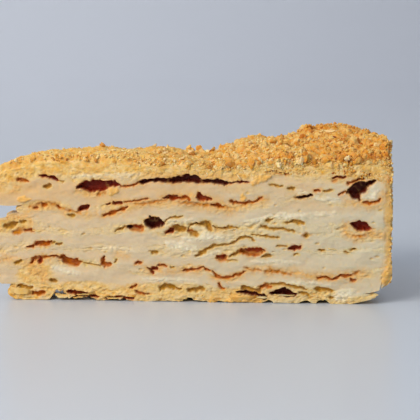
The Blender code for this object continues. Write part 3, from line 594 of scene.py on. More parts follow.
def pick_back_marks():
    """The front's marks again at other places along the cut, each as far from its boundary as before."""
    draw = np.random.default_rng(BACK_MARKS_SEED)
    marks = []
    for one in FRONT_MARKS:
        heights = [height for _, height, _ in one.spine]
        if draw.uniform() > BACK_MARKS_KEPT or max(heights) - min(heights) > BACK_MARKS_TALLEST:
            continue
        middle, level, _ = one.spine[len(one.spine) // 2]
        shift = draw.uniform(8, 110)
        moved = BACK_MARKS_START + (middle + shift - BACK_MARKS_START) % BACK_MARKS_REACH
        gaps = [abs(float(boundary_height(number, middle, 0)) - level) for number in BOUNDARY_NUMBERS]
        near = gaps.index(min(gaps))
        rise = float(boundary_height(near, moved, 1) - boundary_height(near, middle, 0))
        flip = draw.choice((-1, 1))
        spine = [(moved + flip * (at - middle), height + rise, half) for at, height, half in one.spine]
        marks.append(Mark(one.kind, spine))
    return marks


def inside_by(spine, distance, height):
    """How far inside a mark each place is: the mark's half height less the distance to its middle line."""
    inside = np.full(distance.shape, -9.0)
    for (start, low, half), (end, high, next_half) in zip(spine, spine[1:]):
        squared = (end - start) ** 2 + (high - low) ** 2
        share = ((distance - start) * (end - start) + (height - low) * (high - low)) / squared
        share = np.clip(share, 0, 1)
        away = np.hypot(distance - lerp(start, end, share), height - lerp(low, high, share))
        inside = np.maximum(inside, lerp(half, next_half, share) - away)
    return inside


def add_marks(cut, distance, height, back, color):
    """Works a cut's marks into its relief and colours."""
    seed = cut.seed
    astray = ripples(distance, height, seed, (0.34, 1.5, 1.3), (0.24, 0.6, 0.6))
    adrift = ripples(distance, height, seed + 2, (0.30, 1.4, 1.7), (0.28, 0.6, 0.8))
    mottle = 0.6 * layered(distance / 1.3, height / 0.8, seed + 5, 3)
    mottle = mottle + 0.6 * ripple(distance / 0.6, height / 0.55, seed + 8)
    hollow = np.zeros(distance.shape)
    for one in cut.marks:
        kind = one.kind
        ends = np.array(one.spine)
        most = ends[:, 2].max() + kind.wider
        pad = most + 2 * kind.edge + 1.0
        near = (distance > ends[:, 0].min() - pad) & (distance < ends[:, 0].max() + pad)
        near &= (height > ends[:, 1].min() - pad) & (height < ends[:, 1].max() + pad)
        if not near.any():
            continue
        wander = min(1.0, 0.55 + 0.6 * most)
        strayed = distance[near] + astray[near] * wander
        drifted = height[near] + adrift[near] * wander
        inside = inside_by(one.spine, strayed, drifted) + kind.wider
        depth = (kind.depth + kind.deepening * most) * smooth(-0.14, 0.25 + 0.25 * min(most, 1.2), inside)
        if kind.order >= HOLLOW_ORDER:
            hollow[near] = np.maximum(hollow[near], depth)
            lip = 0.75 * smooth(-0.9, -0.05, inside) * np.clip(0.7 + mottle[near], 0, 1)
            lip_tint = PALE_LIP if kind.order == HOLLOW_ORDER else BROWN_LIP
            color[near] = lerp(color[near], lip_tint, lip[..., None])
        cover = kind.cover * smooth(-kind.edge, kind.edge * 1.2, inside)
        cover = np.clip(cover * (1 + kind.patchy * mottle[near]), 0, 1)
        if kind.order < HOLLOW_ORDER:
            back[near] += depth + 0.30 * cover * mottle[near]
        tint = kind.tint * (1 + 0.12 * mottle[near])[..., None]
        color[near] = lerp(color[near], tint, cover[..., None])
    back += np.minimum(hollow, DEEPEST_HOLLOW * width_at(distance))


def crumb_look(distance, height, seed):
    """How far a crumbed cut stands back, and its colours."""
    wobble = 0.6 * ripple(distance / 0.9, height / 0.9, seed + 21)
    coarse_gap, coarse_number = grains((distance + wobble) / 1.5, (height - wobble) / 1.15, seed + 24)
    fine_gap, fine_number = grains(distance / 0.66, (height + wobble) / 0.6, seed + 27)
    mottle = layered(distance / 2.2, height / 1.5, seed + 35, 4)
    bumps = 0.50 * smooth(0.8, 0.0, coarse_gap) * coarse_number
    bumps = bumps + 0.16 * smooth(0.8, 0.1, fine_gap) + 0.15 * mottle
    toast = CRUMBED_CUT_TOAST + 0.03 * smooth(45, 15, distance)
    toast = toast + 0.08 * (coarse_number - 0.5) + 0.08 * (fine_number - 0.5) + 0.20 * mottle
    # browner in the gaps between the grains, as painted shade
    toast = toast + 0.06 * smooth(0.35, 0.8, coarse_gap) + 0.05 * smooth(0.35, 0.8, fine_gap)
    return CRUMBED_CUT_INSET - bumps, browned(CRUMB_PALE, np.clip(toast, 0, 1))


def pastry_shown(cut, distance, height, warp, patches):
    """How much pastry shows at the places of a cut, and how browned it is."""
    pastry, toast = np.zeros(distance.shape), np.zeros(distance.shape)
    for number, layer in enumerate(LAYERS):
        if layer.kind == "pastry":
            above = height + warp - cut.boundary(number, distance)
            below = cut.boundary(number + 1, distance) - height - warp
            shown = smooth(-0.9, 0.7, above) * smooth(-1.0, 0.8, below)
            shown = shown * np.clip(layer.shown + patches, 0, 1)
            pastry = np.maximum(pastry, shown)
            toast = np.maximum(toast, shown * layer.toast)
    return pastry, toast


def cut_look(cut, distance, height):
    """How far the places of a cut stand back, and their colours."""
    seed = cut.seed + 11
    patches = layered(distance / 7.0, height / 4.0, seed, 3)
    streaks = layered(distance / 4.5, height / 0.8, seed + 3, 3)
    grain = layered(distance / 0.9, height / 0.8, seed + 5, 2)
    tone = layered(distance / 14.0, height / 5.0, seed + 9, 2)
    warp = ripples(distance, height, seed + 13, (1.1, 5.5, 3.0), (0.5, 1.6, 1.3))
    pastry, toast = pastry_shown(cut, distance, height, warp, 0.55 * patches + 0.2 * streaks)
    wobble = ripple(distance / 1.1, height / 0.8, seed + 38)
    lump_place = (distance + warp + 0.7 * wobble) / 2.1, (height + 0.5 * warp) / 1.05
    lump_gap, lump_number = grains(*lump_place, seed + 40)
    flake_gap, flake_number = grains(distance / 0.9, (height + 0.3 * wobble) / 0.55, seed + 44)
    lumps = lump_number * smooth(0.75, 0.1, lump_gap) + 0.5 * flake_number * smooth(0.75, 0.1, flake_gap)
    gaps = smooth(0.42, 0.85, lump_gap) * smooth(-0.3, 0.3, patches) + 0.4 * smooth(0.45, 0.85, flake_gap)
    pore_gap, pore_number = grains(distance / 2.3, height / 1.4, seed + 50)
    pores = smooth(0.36, 0.10, pore_gap + 0.10 * wobble) * (pore_number > 0.985 - 0.22 * pastry)
    smears = 0.50 * patches + 0.03 * streaks + 0.06 * grain
    back = smears + pastry * (0.08 + 0.16 * grain - 0.40 * lumps + 0.30 * gaps) + 0.35 * pores
    # the pastry is browner in the gaps between its lumps and paler on them, as painted shade and highlight
    toast = toast + pastry * (0.06 * patches + 0.06 * streaks + 0.07 * grain + 0.15 * gaps - 0.05 * lumps)
    toast = toast + 0.16 * pores + 0.04 * smooth(0.2, 0.8, grain) + 0.03 * smooth(0.3, 0.8, streaks)

    along = np.clip(distance / SLICE_LENGTH + 0.10 * tone, 0, 1)[..., None]
    warmth = np.exp(-(((height - 36) / 7) ** 2)) * (0.75 - 0.5 * distance / SLICE_LENGTH)
    warmth = np.clip(warmth + 0.30 * tone + 0.25 * patches + 0.10 * grain, 0, 1)
    cream = lerp(lerp(CREAM_TIP, CREAM_RIM, along), CREAM_WARM, warmth[..., None])
    cream = cream * (1.01 + 0.05 * patches + 0.045 * grain)[..., None]
    # the sheet is painted lighter on its raised lumps, as a highlight
    sheet = lerp(PASTRY_TIP, PASTRY_RIM, along) * (1 + 0.06 * lumps)[..., None]
    color = browned(lerp(cream, sheet, pastry[..., None]), np.clip(toast, 0, 0.7))

    reach = np.interp(distance, *zip(*cut.crumb_reach))
    reach = reach + 0.9 * ripple(distance / 3.0, height / 3.0, seed + 8)
    reach = reach + 0.5 * ripple(distance, height, seed + 10)
    crumbed = smooth(-0.6, 1.1, height - reach)
    for at, level, reach_along, reach_up, strength in CRUMBLY_PATCHES:
        away = ((distance - at) / reach_along) ** 2 + ((height - level) / reach_up) ** 2
        crumbed = np.maximum(crumbed, strength * smooth(1.25, 0.35, away + 0.5 * patches + 0.5 * grain))
    crumb_back, crumb_color = crumb_look(distance, height, seed)
    back = lerp(back, crumb_back, crumbed)
    color = lerp(color, crumb_color, crumbed[..., None])

    add_marks(cut, distance, height, back, color)
    return back, color


def browned(base, toast):
    """One colour, or one for each place, browned by a share from 0 to 1."""
    base = np.broadcast_to(base, (*toast.shape, 3))
    tints = np.broadcast_to(np.stack(TOAST_TINTS), (*toast.shape, len(TOAST_TINTS), 3))
    steps = np.concatenate([base[..., None, :], tints], axis=-2)
    place = np.interp(toast, TOAST_STEPS, range(len(TOAST_STEPS)))
    low = np.minimum(place.astype(int), len(TOAST_STEPS) - 2)
    share = (place - low)[..., None]
    pick = low[..., None, None]
    below = np.take_along_axis(steps, pick, axis=-2)[..., 0, :]
    above = np.take_along_axis(steps, pick + 1, axis=-2)[..., 0, :]
    return lerp(below, above, share)


# ---------------------------------------------------------------- meshes


def block_shell(long_cells, cross_cells, up_cells):
    """The surface of a block of cells: the whole-number places of its corners, and its quads, facing out."""
    shape = (long_cells + 1, cross_cells + 1, up_cells + 1)
    places = np.indices(shape)
    on_surface = np.zeros(shape, bool)
    for axis in range(3):
        on_surface |= (places[axis] == 0) | (places[axis] == shape[axis] - 1)
    number = np.full(shape, -1)
    number[on_surface] = np.arange(on_surface.sum())
    quads = []
    for axis in range(3):
        for end, flipped in ((0, True), (shape[axis] - 1, False)):
            side = np.take(number, end, axis=axis)
            corners = [side[:-1, :-1], side[1:, :-1], side[1:, 1:], side[:-1, 1:]]
            quad = np.stack(corners, axis=-1).reshape(-1, 4)
            quads.append(quad[:, ::-1] if flipped != (axis == 1) else quad)
    return [place[on_surface] for place in places], np.concatenate(quads)


def add_piece(name, corners, faces, tints, material, slot, replaced):
    """A mesh object from arrays, in millimetres, with a colour for each corner. It rides on the slice."""
    low, high = CAD_BOX
    corners = np.clip(corners * MM, np.array(low) + 1e-5, np.array(high) - 1e-5)
    mesh = bpy.data.meshes.new(name)
    mesh.from_pydata(corners.tolist(), [], faces.tolist())
    mesh.polygons.foreach_set("use_smooth", np.ones(len(faces), bool))
    mesh.set_sharp_from_angle(angle=SHARP_TURN)
    tint = mesh.color_attributes.new("Tint", "FLOAT_COLOR", "POINT")
    alpha = np.ones((len(tints), 1))
    tint.data.foreach_set("color", np.concatenate([np.clip(tints, 0.003, 0.95), alpha], axis=1).ravel())
    mesh.materials.append(material)
    mesh.update()
    piece = bpy.data.objects.new(name, mesh)
    bpy.context.scene.collection.objects.link(piece)
    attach(piece, "root")
    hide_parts(*replaced)
    return piece


def foot_lift(gaps, distance):
    """How far the foot stands clear of the surface under the slice."""
    level = np.zeros(np.shape(distance))
    lift = 0.10 + 0.10 * ripple(distance / 1.1, level, 61)
    lift = lift + 0.15 * np.maximum(0, ripple(distance / 4.0, level, 62))
    for middle, half_length, rise in gaps:
        share = (distance - middle) / half_length
        arch = np.maximum(0, 1 - share**2) ** 0.7
        lift = np.maximum(lift, rise * arch * (1 + 0.3 * ripple(distance / 0.9, level, 63)))
    return lift


def lower_height(number, distance, across):
    """The height of a layer's lower side, with the foot lifted at the cuts and over the tunnel."""
    if number:
        return boundary_height(number, distance, across)
    inward = np.minimum(across, 1 - across) * width_at(distance)
    gaps = np.where(across < 0.5, foot_lift(FOOT_GAPS, distance), foot_lift(BACK_FOOT_GAPS, distance))
    middle, half_length, rise = TUNNEL
    tunnel = rise * smooth(1.15, 0.25, np.abs(distance - middle) / half_length)
    tunnel = tunnel * (1 + 0.35 * layered(distance / 1.3, across * 9, 65, 2))
    return np.maximum(gaps * np.exp(-((inward / 4.5) ** 2)), tunnel)


# How far a layer's rim end is cut in at its lower side and hangs over at its upper side, first at the front
# and then further back
RIM_SLOPES = {"bottom_pastry": ((5.4, 3.6), (-2.2, 4.4)), "cream_1": ((0.9, 0.0), (-0.6, 1.0))}
UPRIGHT_RIM = ((0.0, 0.0), (0.0, 0.0))
RIM_FRONT_REACH = 9.0  # how far along the rim its front form fades into the one further back
TIP_REACH = 6.0  # how far from its end a layer's tip is rounded and torn
TIP_ROUNDING = 0.8  # how much further back a tip lies at its upper and lower side than halfway
ROUNDER_TIPS = {"bottom_pastry": 2.3, "cream_4": 2.6, "pastry_5": 1.8}


def ragged_end(distance, first, last, side, height, level, rim_slope, rounding=TIP_ROUNDING):
    """Moves a layer's tip and rim ends: rounded and torn at the tip, undercut or overhanging at the rim."""
    near_front = np.exp(-((side / RIM_FRONT_REACH) ** 2))
    undercut, overhang = (lerp(behind, ahead, near_front) for ahead, behind in zip(*rim_slope))
    torn = 0.6 + 1.2 * layered(side / 1.9, height / 1.5, 71, 3) + rounding * (2 * level - 1) ** 2
    past_tip = np.maximum(0, 1 - (distance - first) / TIP_REACH) ** 2
    past_rim = np.maximum(0, 1 - (last - distance) / (4 + 2 * np.maximum(0, undercut))) ** 2
    sloped = overhang * level - undercut * (1 - level) ** 2.2
    overhangs_at_front = rim_slope[0][1] > 0
    if overhangs_at_front:
        sloped = sloped - 1.3 * layered(side / 2.4, height / 0.9, 73, 3)
        sloped = sloped - 1.8 * layered(side / 5.0, height / 3.0, 74, 2)
    return distance + torn * past_tip + sloped * past_rim


def face_cuts(cuts, grid, distance, height, color, rounding=0.0):
    """Paints both cuts of a block of cells, and tells how far across the slice each of its corners lies."""
    along, cross, up = grid
    row = np.zeros((2, along.max() + 1, up.max() + 1))
    for cut in cuts:
        here = cross == cut.across * cross.max()
        back, color[here] = cut_look(cut, distance[here], height[here])
        row[cut.across, along[here], up[here]] = back + rounding * (up[here] / up.max()) ** 3
    width = width_at(distance)
    return lerp(row[0, along, up] / width, 1 - row[1, along, up] / width, cross / cross.max())


def build_layer(number, layer, cuts, materials):
    """One layer: a wavy sheet whose two cuts, tip and rim are worked finely."""
    last = SLICE_LENGTH - layer.rim_short
    steps = round((last - layer.tip_short) / FACE_STEP)
    stations = np.linspace(layer.tip_short, last, steps + 1)
    lower = lower_height(number, stations, np.zeros(steps + 1))
    thickest = np.max(boundary_height(number + 1, stations, 0.0) - lower)
    up_cells = max(FEWEST_CELLS_UP, round(thickest / FACE_STEP))
    grid, quads = block_shell(steps, layer.crossings, up_cells)
    along, cross, up = grid
    level, share = up / up_cells, cross / layer.crossings

    distance = stations[along]
    side = share * width_at(distance)
    upper = boundary_height(number + 1, distance, share) + OVERLAP
    height = lerp(lower_height(number, distance, share), upper, level)
    rim_slope = RIM_SLOPES.get(layer.name, UPRIGHT_RIM)
    rounding = ROUNDER_TIPS.get(layer.name, TIP_ROUNDING)
    distance = ragged_end(distance, layer.tip_short, last, side, height, level, rim_slope, rounding)

    base = PASTRY_TIP if layer.kind == "pastry" else CREAM_TIP
    color = browned(base, np.clip(layer.toast + 0.12 * layered(share * 20, distance / 1.5, 75, 3), 0, 1))
    grown = 0.08 + layer.toast + 0.25 * layered(share * width_at(distance) / 1.2, height / 0.8, 77, 3)
    at_end = (along == 0) | (along == steps)
    color = np.where(at_end[:, None], browned(color, np.clip(grown, 0, 0.5)), color)
    across = face_cuts(cuts, grid, distance, height, color)
    corners = place_in_slice(distance, across, height)
    return add_piece(layer.name, corners, quads, color, materials[layer.kind], layer.kind, [layer.name])


# Where the crumbs lie higher or lower than the solid: (distance from the tip, rise, reach)
CRUMB_SWELLS = [(38, 1.8, 14), (54, 0.8, 8), (62, 1.0, 9), (92, 1.7, 9), (119, -0.7, 5)]
CRUMB_CEILING = 52.4  # which the loose crumbs on top reach at the most, apart from a rough corner
BED_CEILING = 51.7  # which the bed under them reaches at the most
CLUMP_SIZE = 3.6
COARSER_FROM, COARSER_TO = 40, 90  # between these distances from the tip the clumps grow to full height
TOPPING_CELLS_UP = 12
TOPPING_TIP_SHORT = 0.3
TOPPING_RIM_INSET = 0.5  # how far its rim face stays behind the coat's
TOPPING_EDGE_ROUNDING = 0.4


def clumps(across, up, distance):
    """The relief of clumped crumbs, coarser towards the rim, and how much browner each place is: each clump's
    own toast, with painted shade in the gaps between the clumps.
    """
    wander = 0.5 * ripple(across / 1.7, up / 1.7, 79)
    gap, number = grains((across + wander) / CLUMP_SIZE, (up - wander) / CLUMP_SIZE, 81)
    coarser = smooth(COARSER_FROM, COARSER_TO, distance)
    relief = lerp(0.8, 1.9, coarser) * smooth(0.85, 0.1, gap) * (0.25 + 0.75 * number)
    return relief, 0.16 * (number - 0.5) + lerp(0.06, 0.16, coarser) * smooth(0.5, 0.9, gap)


def topping_relief(distance, across):
    """The relief of the crumb bed, how much browner each place is, with painted shade between the clumps, and
    the gaps between its fine crumbs.
    """
    along, side = plan_point(distance, across)
    clump, browning = clumps(along, side, distance)
    fine_gap, fine_number = grains(along / 0.9, side / 0.9, 84)
    relief = clump + 0.38 * smooth(0.8, 0.1, fine_gap) - 0.8 + swelled((0, CRUMB_SWELLS), distance)
    return relief, browning + 0.10 * (fine_number - 0.5), fine_gap


def build_topping(cuts, materials):
    """The bed of crumbs on top, which the loose crumbs lie on."""
    steps = round(SLICE_LENGTH / TOP_STEP)
    stations = np.linspace(TOPPING_TIP_SHORT, SLICE_LENGTH, steps + 1)
    grid, quads = block_shell(steps, TOP_CROSSINGS, TOPPING_CELLS_UP)
    along, cross, up = grid
    level, share = up / TOPPING_CELLS_UP, cross / TOP_CROSSINGS
    distance = stations[along]
    relief, browning, gap = topping_relief(distance, share)
    low = boundary_height(len(BOUNDARIES), distance, share)
    height = lerp(low, np.minimum(top_height(distance, share) + relief, BED_CEILING), level)
    side = share * width_at(distance)
    distance = ragged_end(distance, TOPPING_TIP_SHORT, SLICE_LENGTH, side, height, level, UPRIGHT_RIM)
    side = share * width_at(SLICE_LENGTH)
    rim_face = coat_distance(1.0, side, height) - SLICE_LENGTH - TOPPING_RIM_INSET
    distance = distance + rim_face * np.maximum(0, 1 - (SLICE_LENGTH - distance) / 3.0)
    depth = lerp(0.26, 0.33, smooth(30, 90, distance)) + 0.04 * smooth(95, 115, distance)
    # browner in the gaps between the fine crumbs, as painted shade
    toast = depth + browning + 0.12 * smooth(0.35, 0.8, gap)
    toast = np.clip(np.where(along == steps, rim_toast(side, height), toast), 0, 1)
    color = browned(CRUMB_PALE, toast)
    across = face_cuts(cuts, grid, distance, height, color, TOPPING_EDGE_ROUNDING)
    corners = place_in_slice(distance, across, height)
    return add_piece("crumb_topping", corners, quads, color, materials["crumb"], "crumb", ["crumb_topping"])


def rim_toast(side, height):
    """How browned the crumbed rim is, with painted shade in the gaps between its crumbs."""
    gap, number = grains(side / 1.1, height / 1.1, 113)
    return 0.20 + 0.24 * (number - 0.4) + 0.10 * smooth(0.3, 0.8, gap)


def coat_distance(height_share, side, height):
    """How far the coat's outer face is from the tip."""
    lump_gap, _ = grains(side / 1.7, height / 1.7, 101)
    lumps = 0.6 * smooth(0.8, 0.1, lump_gap) + 0.5 * layered(side / 3.2, height / 3.2, 104, 2)
    clump = 1.0 * np.exp(-(((height - 10.0) / 2.6) ** 2) - (side / 5) ** 2)
    return SLICE_LENGTH - 0.7 + COAT_BULGE * np.sin(math.pi * height_share) * 0.5 + lumps + clump


def build_coat(cuts, materials):
    """The crumbed cream round the rim."""
    round_cells, through_cells, up_cells = COAT_CELLS
    (through, cross, up), quads = block_shell(through_cells, round_cells, up_cells)
    share, depth, rise = cross / round_cells, through / through_cells, up / up_cells
    inner = SLICE_LENGTH - COAT_THICKNESS - COAT_TUCK
    side = share * width_at(SLICE_LENGTH)
    sway = np.array([noise.noise(Vector((place * 6, 1.7, 0.4))) for place in share])
    bottom = COAT_BOTTOM + COAT_BOTTOM_WAVE * sway - 0.4 * (1 - depth) - 1.2 * np.exp(-((side / 7) ** 2))
    bottom = bottom + 0.3 * layered(side / 2.2, side * 0, 107, 2)
    top = boundary_height(len(BOUNDARIES), np.full(len(share), inner), share) + OVERLAP
    height = lerp(bottom, top, rise)
    tucked = 1.5 * np.maximum(0, 1 - rise / COAT_FOOT_SHARE) ** 2
    distance = lerp(inner, coat_distance(rise, side, height) - tucked, depth)
    bare = smooth(0.05, 0.45, layered(side / 5.0, height / 6.0, 117, 3)) * smooth(34, 16, height)
    toast = lerp(rim_toast(side, height), 0.08, bare)
    color = browned(CREAM_RIM, np.clip(toast, 0, 0.7))
    width = width_at(distance)
    across = share.copy()
    for cut in cuts:
        here = cross == cut.across * round_cells
        back, tint = cut_look(cut, distance[here], height[here])
        ragged = layered(distance[here] / 1.6, height[here] / 2.2, 111, 3)
        edge = smooth(0.35, 1.0, depth[here] + 0.35 * ragged)
        crumb_back, crumb_color = crumb_look(distance[here], height[here], 115)
        # browned a little all over, and more towards the rim's outer edge as painted shade where the corner
        # turns from the light
        crumb_color = browned(crumb_color, 0.10 + 0.12 * smooth(0.7, 1.0, depth[here]))
        color[here] = lerp(tint, crumb_color, edge[:, None])
        rounding = COAT_CORNER - np.sqrt(COAT_CORNER**2 - (COAT_THICKNESS * depth[here]) ** 2)
        back = lerp(back, crumb_back, edge) + 0.3 * rounding + 0.05 * (depth[here] == 0)
        inset = back / width[here]
        across[here] = inset if cut.across == 0 else 1 - inset
    corners = place_in_slice(distance, across, height)
    return add_piece("rim_coat", corners, quads, color, materials["crumb"], "crumb", ["rim_coat"])


# ---------------------------------------------------------------- crumbs


CRUMB_SHAPES = 14  # of each kind of crumb
FLAT_SIDES = 5
SMALL_CRUMB_SKEW = 1.7  # above 1 there are more small crumbs than large ones
EDGE_CRUMBS = 0.16  # the share of the top's crumbs that lie along a cut
FACE_CRUMBS_START = 36.0  # nearer to the tip than this no crumbs hang down the cuts

# By how finely a crumb is faceted: its roughness, how much crumbs on top and on the cuts crowd towards the
# rim (the lower the more), and how far one is raised out of the bed at least, as a share of its size
ROUGHNESS = {1: 0.18, 2: 0.16, 3: 0.10}
CROWDING = {1: 0.62, 2: 0.48, 3: 0.30}
FACE_CROWDING = {1: 0.55, 2: 0.40, 3: 0.30}
RAISED = {1: -0.40, 2: -0.32, 3: -0.20}


def crumb_shapes(facets, count, draw):
    """Broken lumps of size 1: balls cut flat on random sides, with rough faces."""
    ball = bmesh.new()
    bmesh.ops.create_icosphere(ball, subdivisions=facets, radius=0.5)
    corners = np.array([vertex.co for vertex in ball.verts])
    faces = np.array([[vertex.index for vertex in face.verts] for face in ball.faces])
    ball.free()
    roughness = ROUGHNESS[facets]
    shapes = []
    for _ in range(count):
        shape = corners.copy()
        for _ in range(FLAT_SIDES):
            outward = draw.normal(size=3)
            outward /= np.linalg.norm(outward)
            over = np.maximum(0, shape @ outward - draw.uniform(0.15, 0.38))
            shape = shape - over[:, None] * outward
        pits = [noise.noise(Vector(corner * 7.0) + Vector((len(shapes) * 5.0, 0, 0))) for corner in shape]
        shape = shape * (1 + 0.35 * np.array(pits)[:, None])
        shape = shape * draw.uniform(1 - roughness, 1 + roughness, (len(corners), 1))
        shapes.append(shape * (1, draw.uniform(0.65, 1.0), draw.uniform(0.45, 0.85)))
    return shapes, faces


def random_turns(count, draw):
    """Rotation matrices, spread evenly over all directions."""
    w, x, y, z = draw.normal(size=(4, count))
    length = np.sqrt(w * w + x * x + y * y + z * z)
    w, x, y, z = w / length, x / length, y / length, z / length
    rows = [
        [1 - 2 * (y * y + z * z), 2 * (x * y - w * z), 2 * (x * z + w * y)],
        [2 * (x * y + w * z), 1 - 2 * (x * x + z * z), 2 * (y * z - w * x)],
        [2 * (x * z - w * y), 2 * (y * z + w * x), 1 - 2 * (x * x + y * y)],
    ]
    return np.transpose(np.array(rows), (2, 0, 1))


def crumb_toast(count, draw):
    """How browned each crumb is: most are golden, some pale, some deep orange."""
    toast = draw.normal(0.24, 0.08, count)
    kind = draw.uniform(0, 1, count)
    toast = np.where(kind < 0.06, draw.uniform(0.04, 0.12, count), toast)
    return np.where(kind > 0.93, draw.uniform(0.38, 0.52, count), toast)


def build_crumbs(scatter, place_crumbs, materials, replaced):
    """One piece of many crumbs, joined."""
    draw = np.random.default_rng(scatter.seed)
    places, sizes, toast = place_crumbs(scatter, draw)
    count = len(places)
    shapes, faces = crumb_shapes(scatter.facets, CRUMB_SHAPES, draw)
    turns = random_turns(count, draw)
    stack = np.stack(shapes)[draw.integers(0, len(shapes), count)]
    bumps = np.linalg.norm(stack, axis=2)
    corners = np.einsum("nij,nkj->nki", turns, stack * sizes[:, None, None]) + places[:, None, :]
    # a crumb is browner where its surface lies lower, as painted shade in its pits
    pit_shade = 0.22 * (0.42 - bumps)
    toasts = np.clip(toast[:, None] + pit_shade + draw.uniform(-0.04, 0.04, bumps.shape), 0, 1)
    shift = (np.arange(count) * stack.shape[1])[:, None, None]
    parts = (corners, faces + shift, browned(CRUMB_PALE, toasts))
    arrays = (part.reshape(-1, 3) for part in parts)
    return add_piece(scatter.name, *arrays, materials["crumb"], "crumb", replaced)


def sizes_between(scatter, draw, count):
    return lerp(scatter.smallest, scatter.largest, draw.uniform(0, 1, count) ** SMALL_CRUMB_SKEW)


def on_cut(distance, across, height, inset):
    """Places on a cut face, inset into the slice."""
    return place_in_slice(distance, across + (1 - 2 * across) * inset / width_at(distance), height)


def place_top_crumbs(scatter, draw):
    """Crumbs over the topping and down the top of both cuts, coarser and closer towards the rim."""
    on_face = int(scatter.count * scatter.on_cuts)
    count = scatter.count - on_face
    distance = SLICE_LENGTH * draw.uniform(0.0002, 0.994, count) ** CROWDING[scatter.facets]
    sizes = sizes_between(scatter, draw, count) * lerp(0.65, 1.12, distance / SLICE_LENGTH)
    margin = np.minimum(0.45, 0.30 * sizes / width_at(distance))
    across = lerp(margin, 1 - margin, draw.uniform(0, 1, count))
    inward = np.minimum(0.5, draw.uniform(0.1, 1.8, count) / width_at(distance))
    nearest_cut = np.where(across < 0.5, inward, 1 - inward)
    across = np.where(draw.uniform(0, 1, count) < EDGE_CRUMBS, nearest_cut, across)
    relief, browning, _ = topping_relief(distance, across)
    raised = RAISED[scatter.facets] + draw.uniform(0, 0.34, count)
    height = np.minimum(top_height(distance, across) + relief + sizes * raised, CRUMB_CEILING - 0.42 * sizes)
    top = place_in_slice(distance, across, height)

    side = draw.choice((0.0, 1.0), on_face)
    crowded = draw.uniform(0, 1, on_face) ** FACE_CROWDING[scatter.facets]
    face_distance = lerp(FACE_CRUMBS_START, SLICE_LENGTH - 0.5, crowded)
    face_sizes = sizes_between(scatter, draw, on_face) * 0.8
    upper = top_height(face_distance, side) + 0.5
    lowest = np.interp(face_distance, *zip(*CRUMB_REACH)) + 0.6
    lowest = lerp(upper - 2.0, lowest, smooth(70, 98, face_distance))
    face_height = lerp(upper, lowest, draw.uniform(0, 1, on_face))
    clump, face_toast_and_gap_shade = clumps(face_distance, face_height * 1.3, face_distance)
    face = on_cut(face_distance, side, face_height, face_sizes * 0.36 + 0.18 - 0.25 * clump)
    # the crumbs take the bed's browning where they lie, with its painted shade between the clumps
    toast = crumb_toast(scatter.count, draw) + np.concatenate([browning, face_toast_and_gap_shade])
    toast = toast + 0.13 * smooth(85, 115, np.concatenate([distance, face_distance])) - 0.05
    return np.concatenate([top, face]), np.concatenate([sizes, face_sizes]), toast


def place_coarse_crumbs(scatter, draw):
    """The coarse crumbs, with those that catch the eye on the front."""
    places, sizes, toast = place_top_crumbs(scatter, draw)
    distance, height, size, browning = np.array(FRONT_CRUMBS).T
    level = np.minimum(height, top_height(distance, 0.02) + 0.3 * size)
    fixed = on_cut(distance, 0.0, level, 0.12 * size + 0.1)
    return np.concatenate([places, fixed]), np.concatenate([sizes, size]), np.concatenate([toast, browning])


def place_coat_crumbs(scatter, draw):
    """Crumbs on the rim, close together high up and thinner lower down."""
    count = scatter.count
    share = draw.uniform(0.0, 1.0, count)
    rise = draw.uniform(0, 1, count) ** 0.8
    top = top_height(np.full(count, SLICE_LENGTH - 1.0), share)
    height = lerp(COAT_BOTTOM + 0.5 - 0.8 * np.exp(-((share * 10) ** 2)), top, rise)
    sizes = sizes_between(scatter, draw, count)
    distance = coat_distance(rise, share * width_at(SLICE_LENGTH), height) + sizes * 0.05
    return place_in_slice(distance, share, height), sizes, crumb_toast(count, draw) - 0.05


# ---------------------------------------------------------------- loose leaves


Leaf = namedtuple("Leaf", "place length depth thickness climb tilt heading toast")
LEAF_CELLS = (9, 4)
LEAVES_IN_SHEET = {"bottom_pastry": 30, "pastry_3": 10, "pastry_4": 18}
CUT_LEAF_THICKNESS = 0.22
CUT_LEAF_PLACES_SEED, CUT_LEAF_SHAPES_SEED = 31, 41
FOOT_LEAVES = 20  # on each cut
FOOT_LEAF_THICKNESS = 0.4
FOOT_LEAF_PLACES_SEED, FOOT_LEAF_SHAPES_SEED = 33, 43

# Single leaves at the front's foot: distance from the tip, height, inset, and the rest of a Leaf
FRONT_FOOT_LEAVES = [
    (81.2, 1.1, 0.9, 10.5, 3.2, 1.5, 2, 14, 0.0, 0.30),
    (71.2, 0.7, 0.8, 3.4, 2.6, 0.9, -4, 10, 0.0, 0.28),
    (9.5, 2.6, 0.6, 6.5, 2.4, 2.2, -6, 0, 0.0, 0.22),
]


def leaf_shape():
    """What every leaf is bent from: its corners' places along and across, their side (-1 or 1), and quads."""
    (along, cross, up), quads = block_shell(*LEAF_CELLS, 1)
    return along / LEAF_CELLS[0] * 2 - 1, cross / LEAF_CELLS[1] * 2 - 1, up * 2.0 - 1, quads


def turned(first, second, angle):
    """Two coordinates turned by an angle."""
    cosine, sine = math.cos(angle), math.sin(angle)
    return first * cosine - second * sine, first * sine + second * cosine


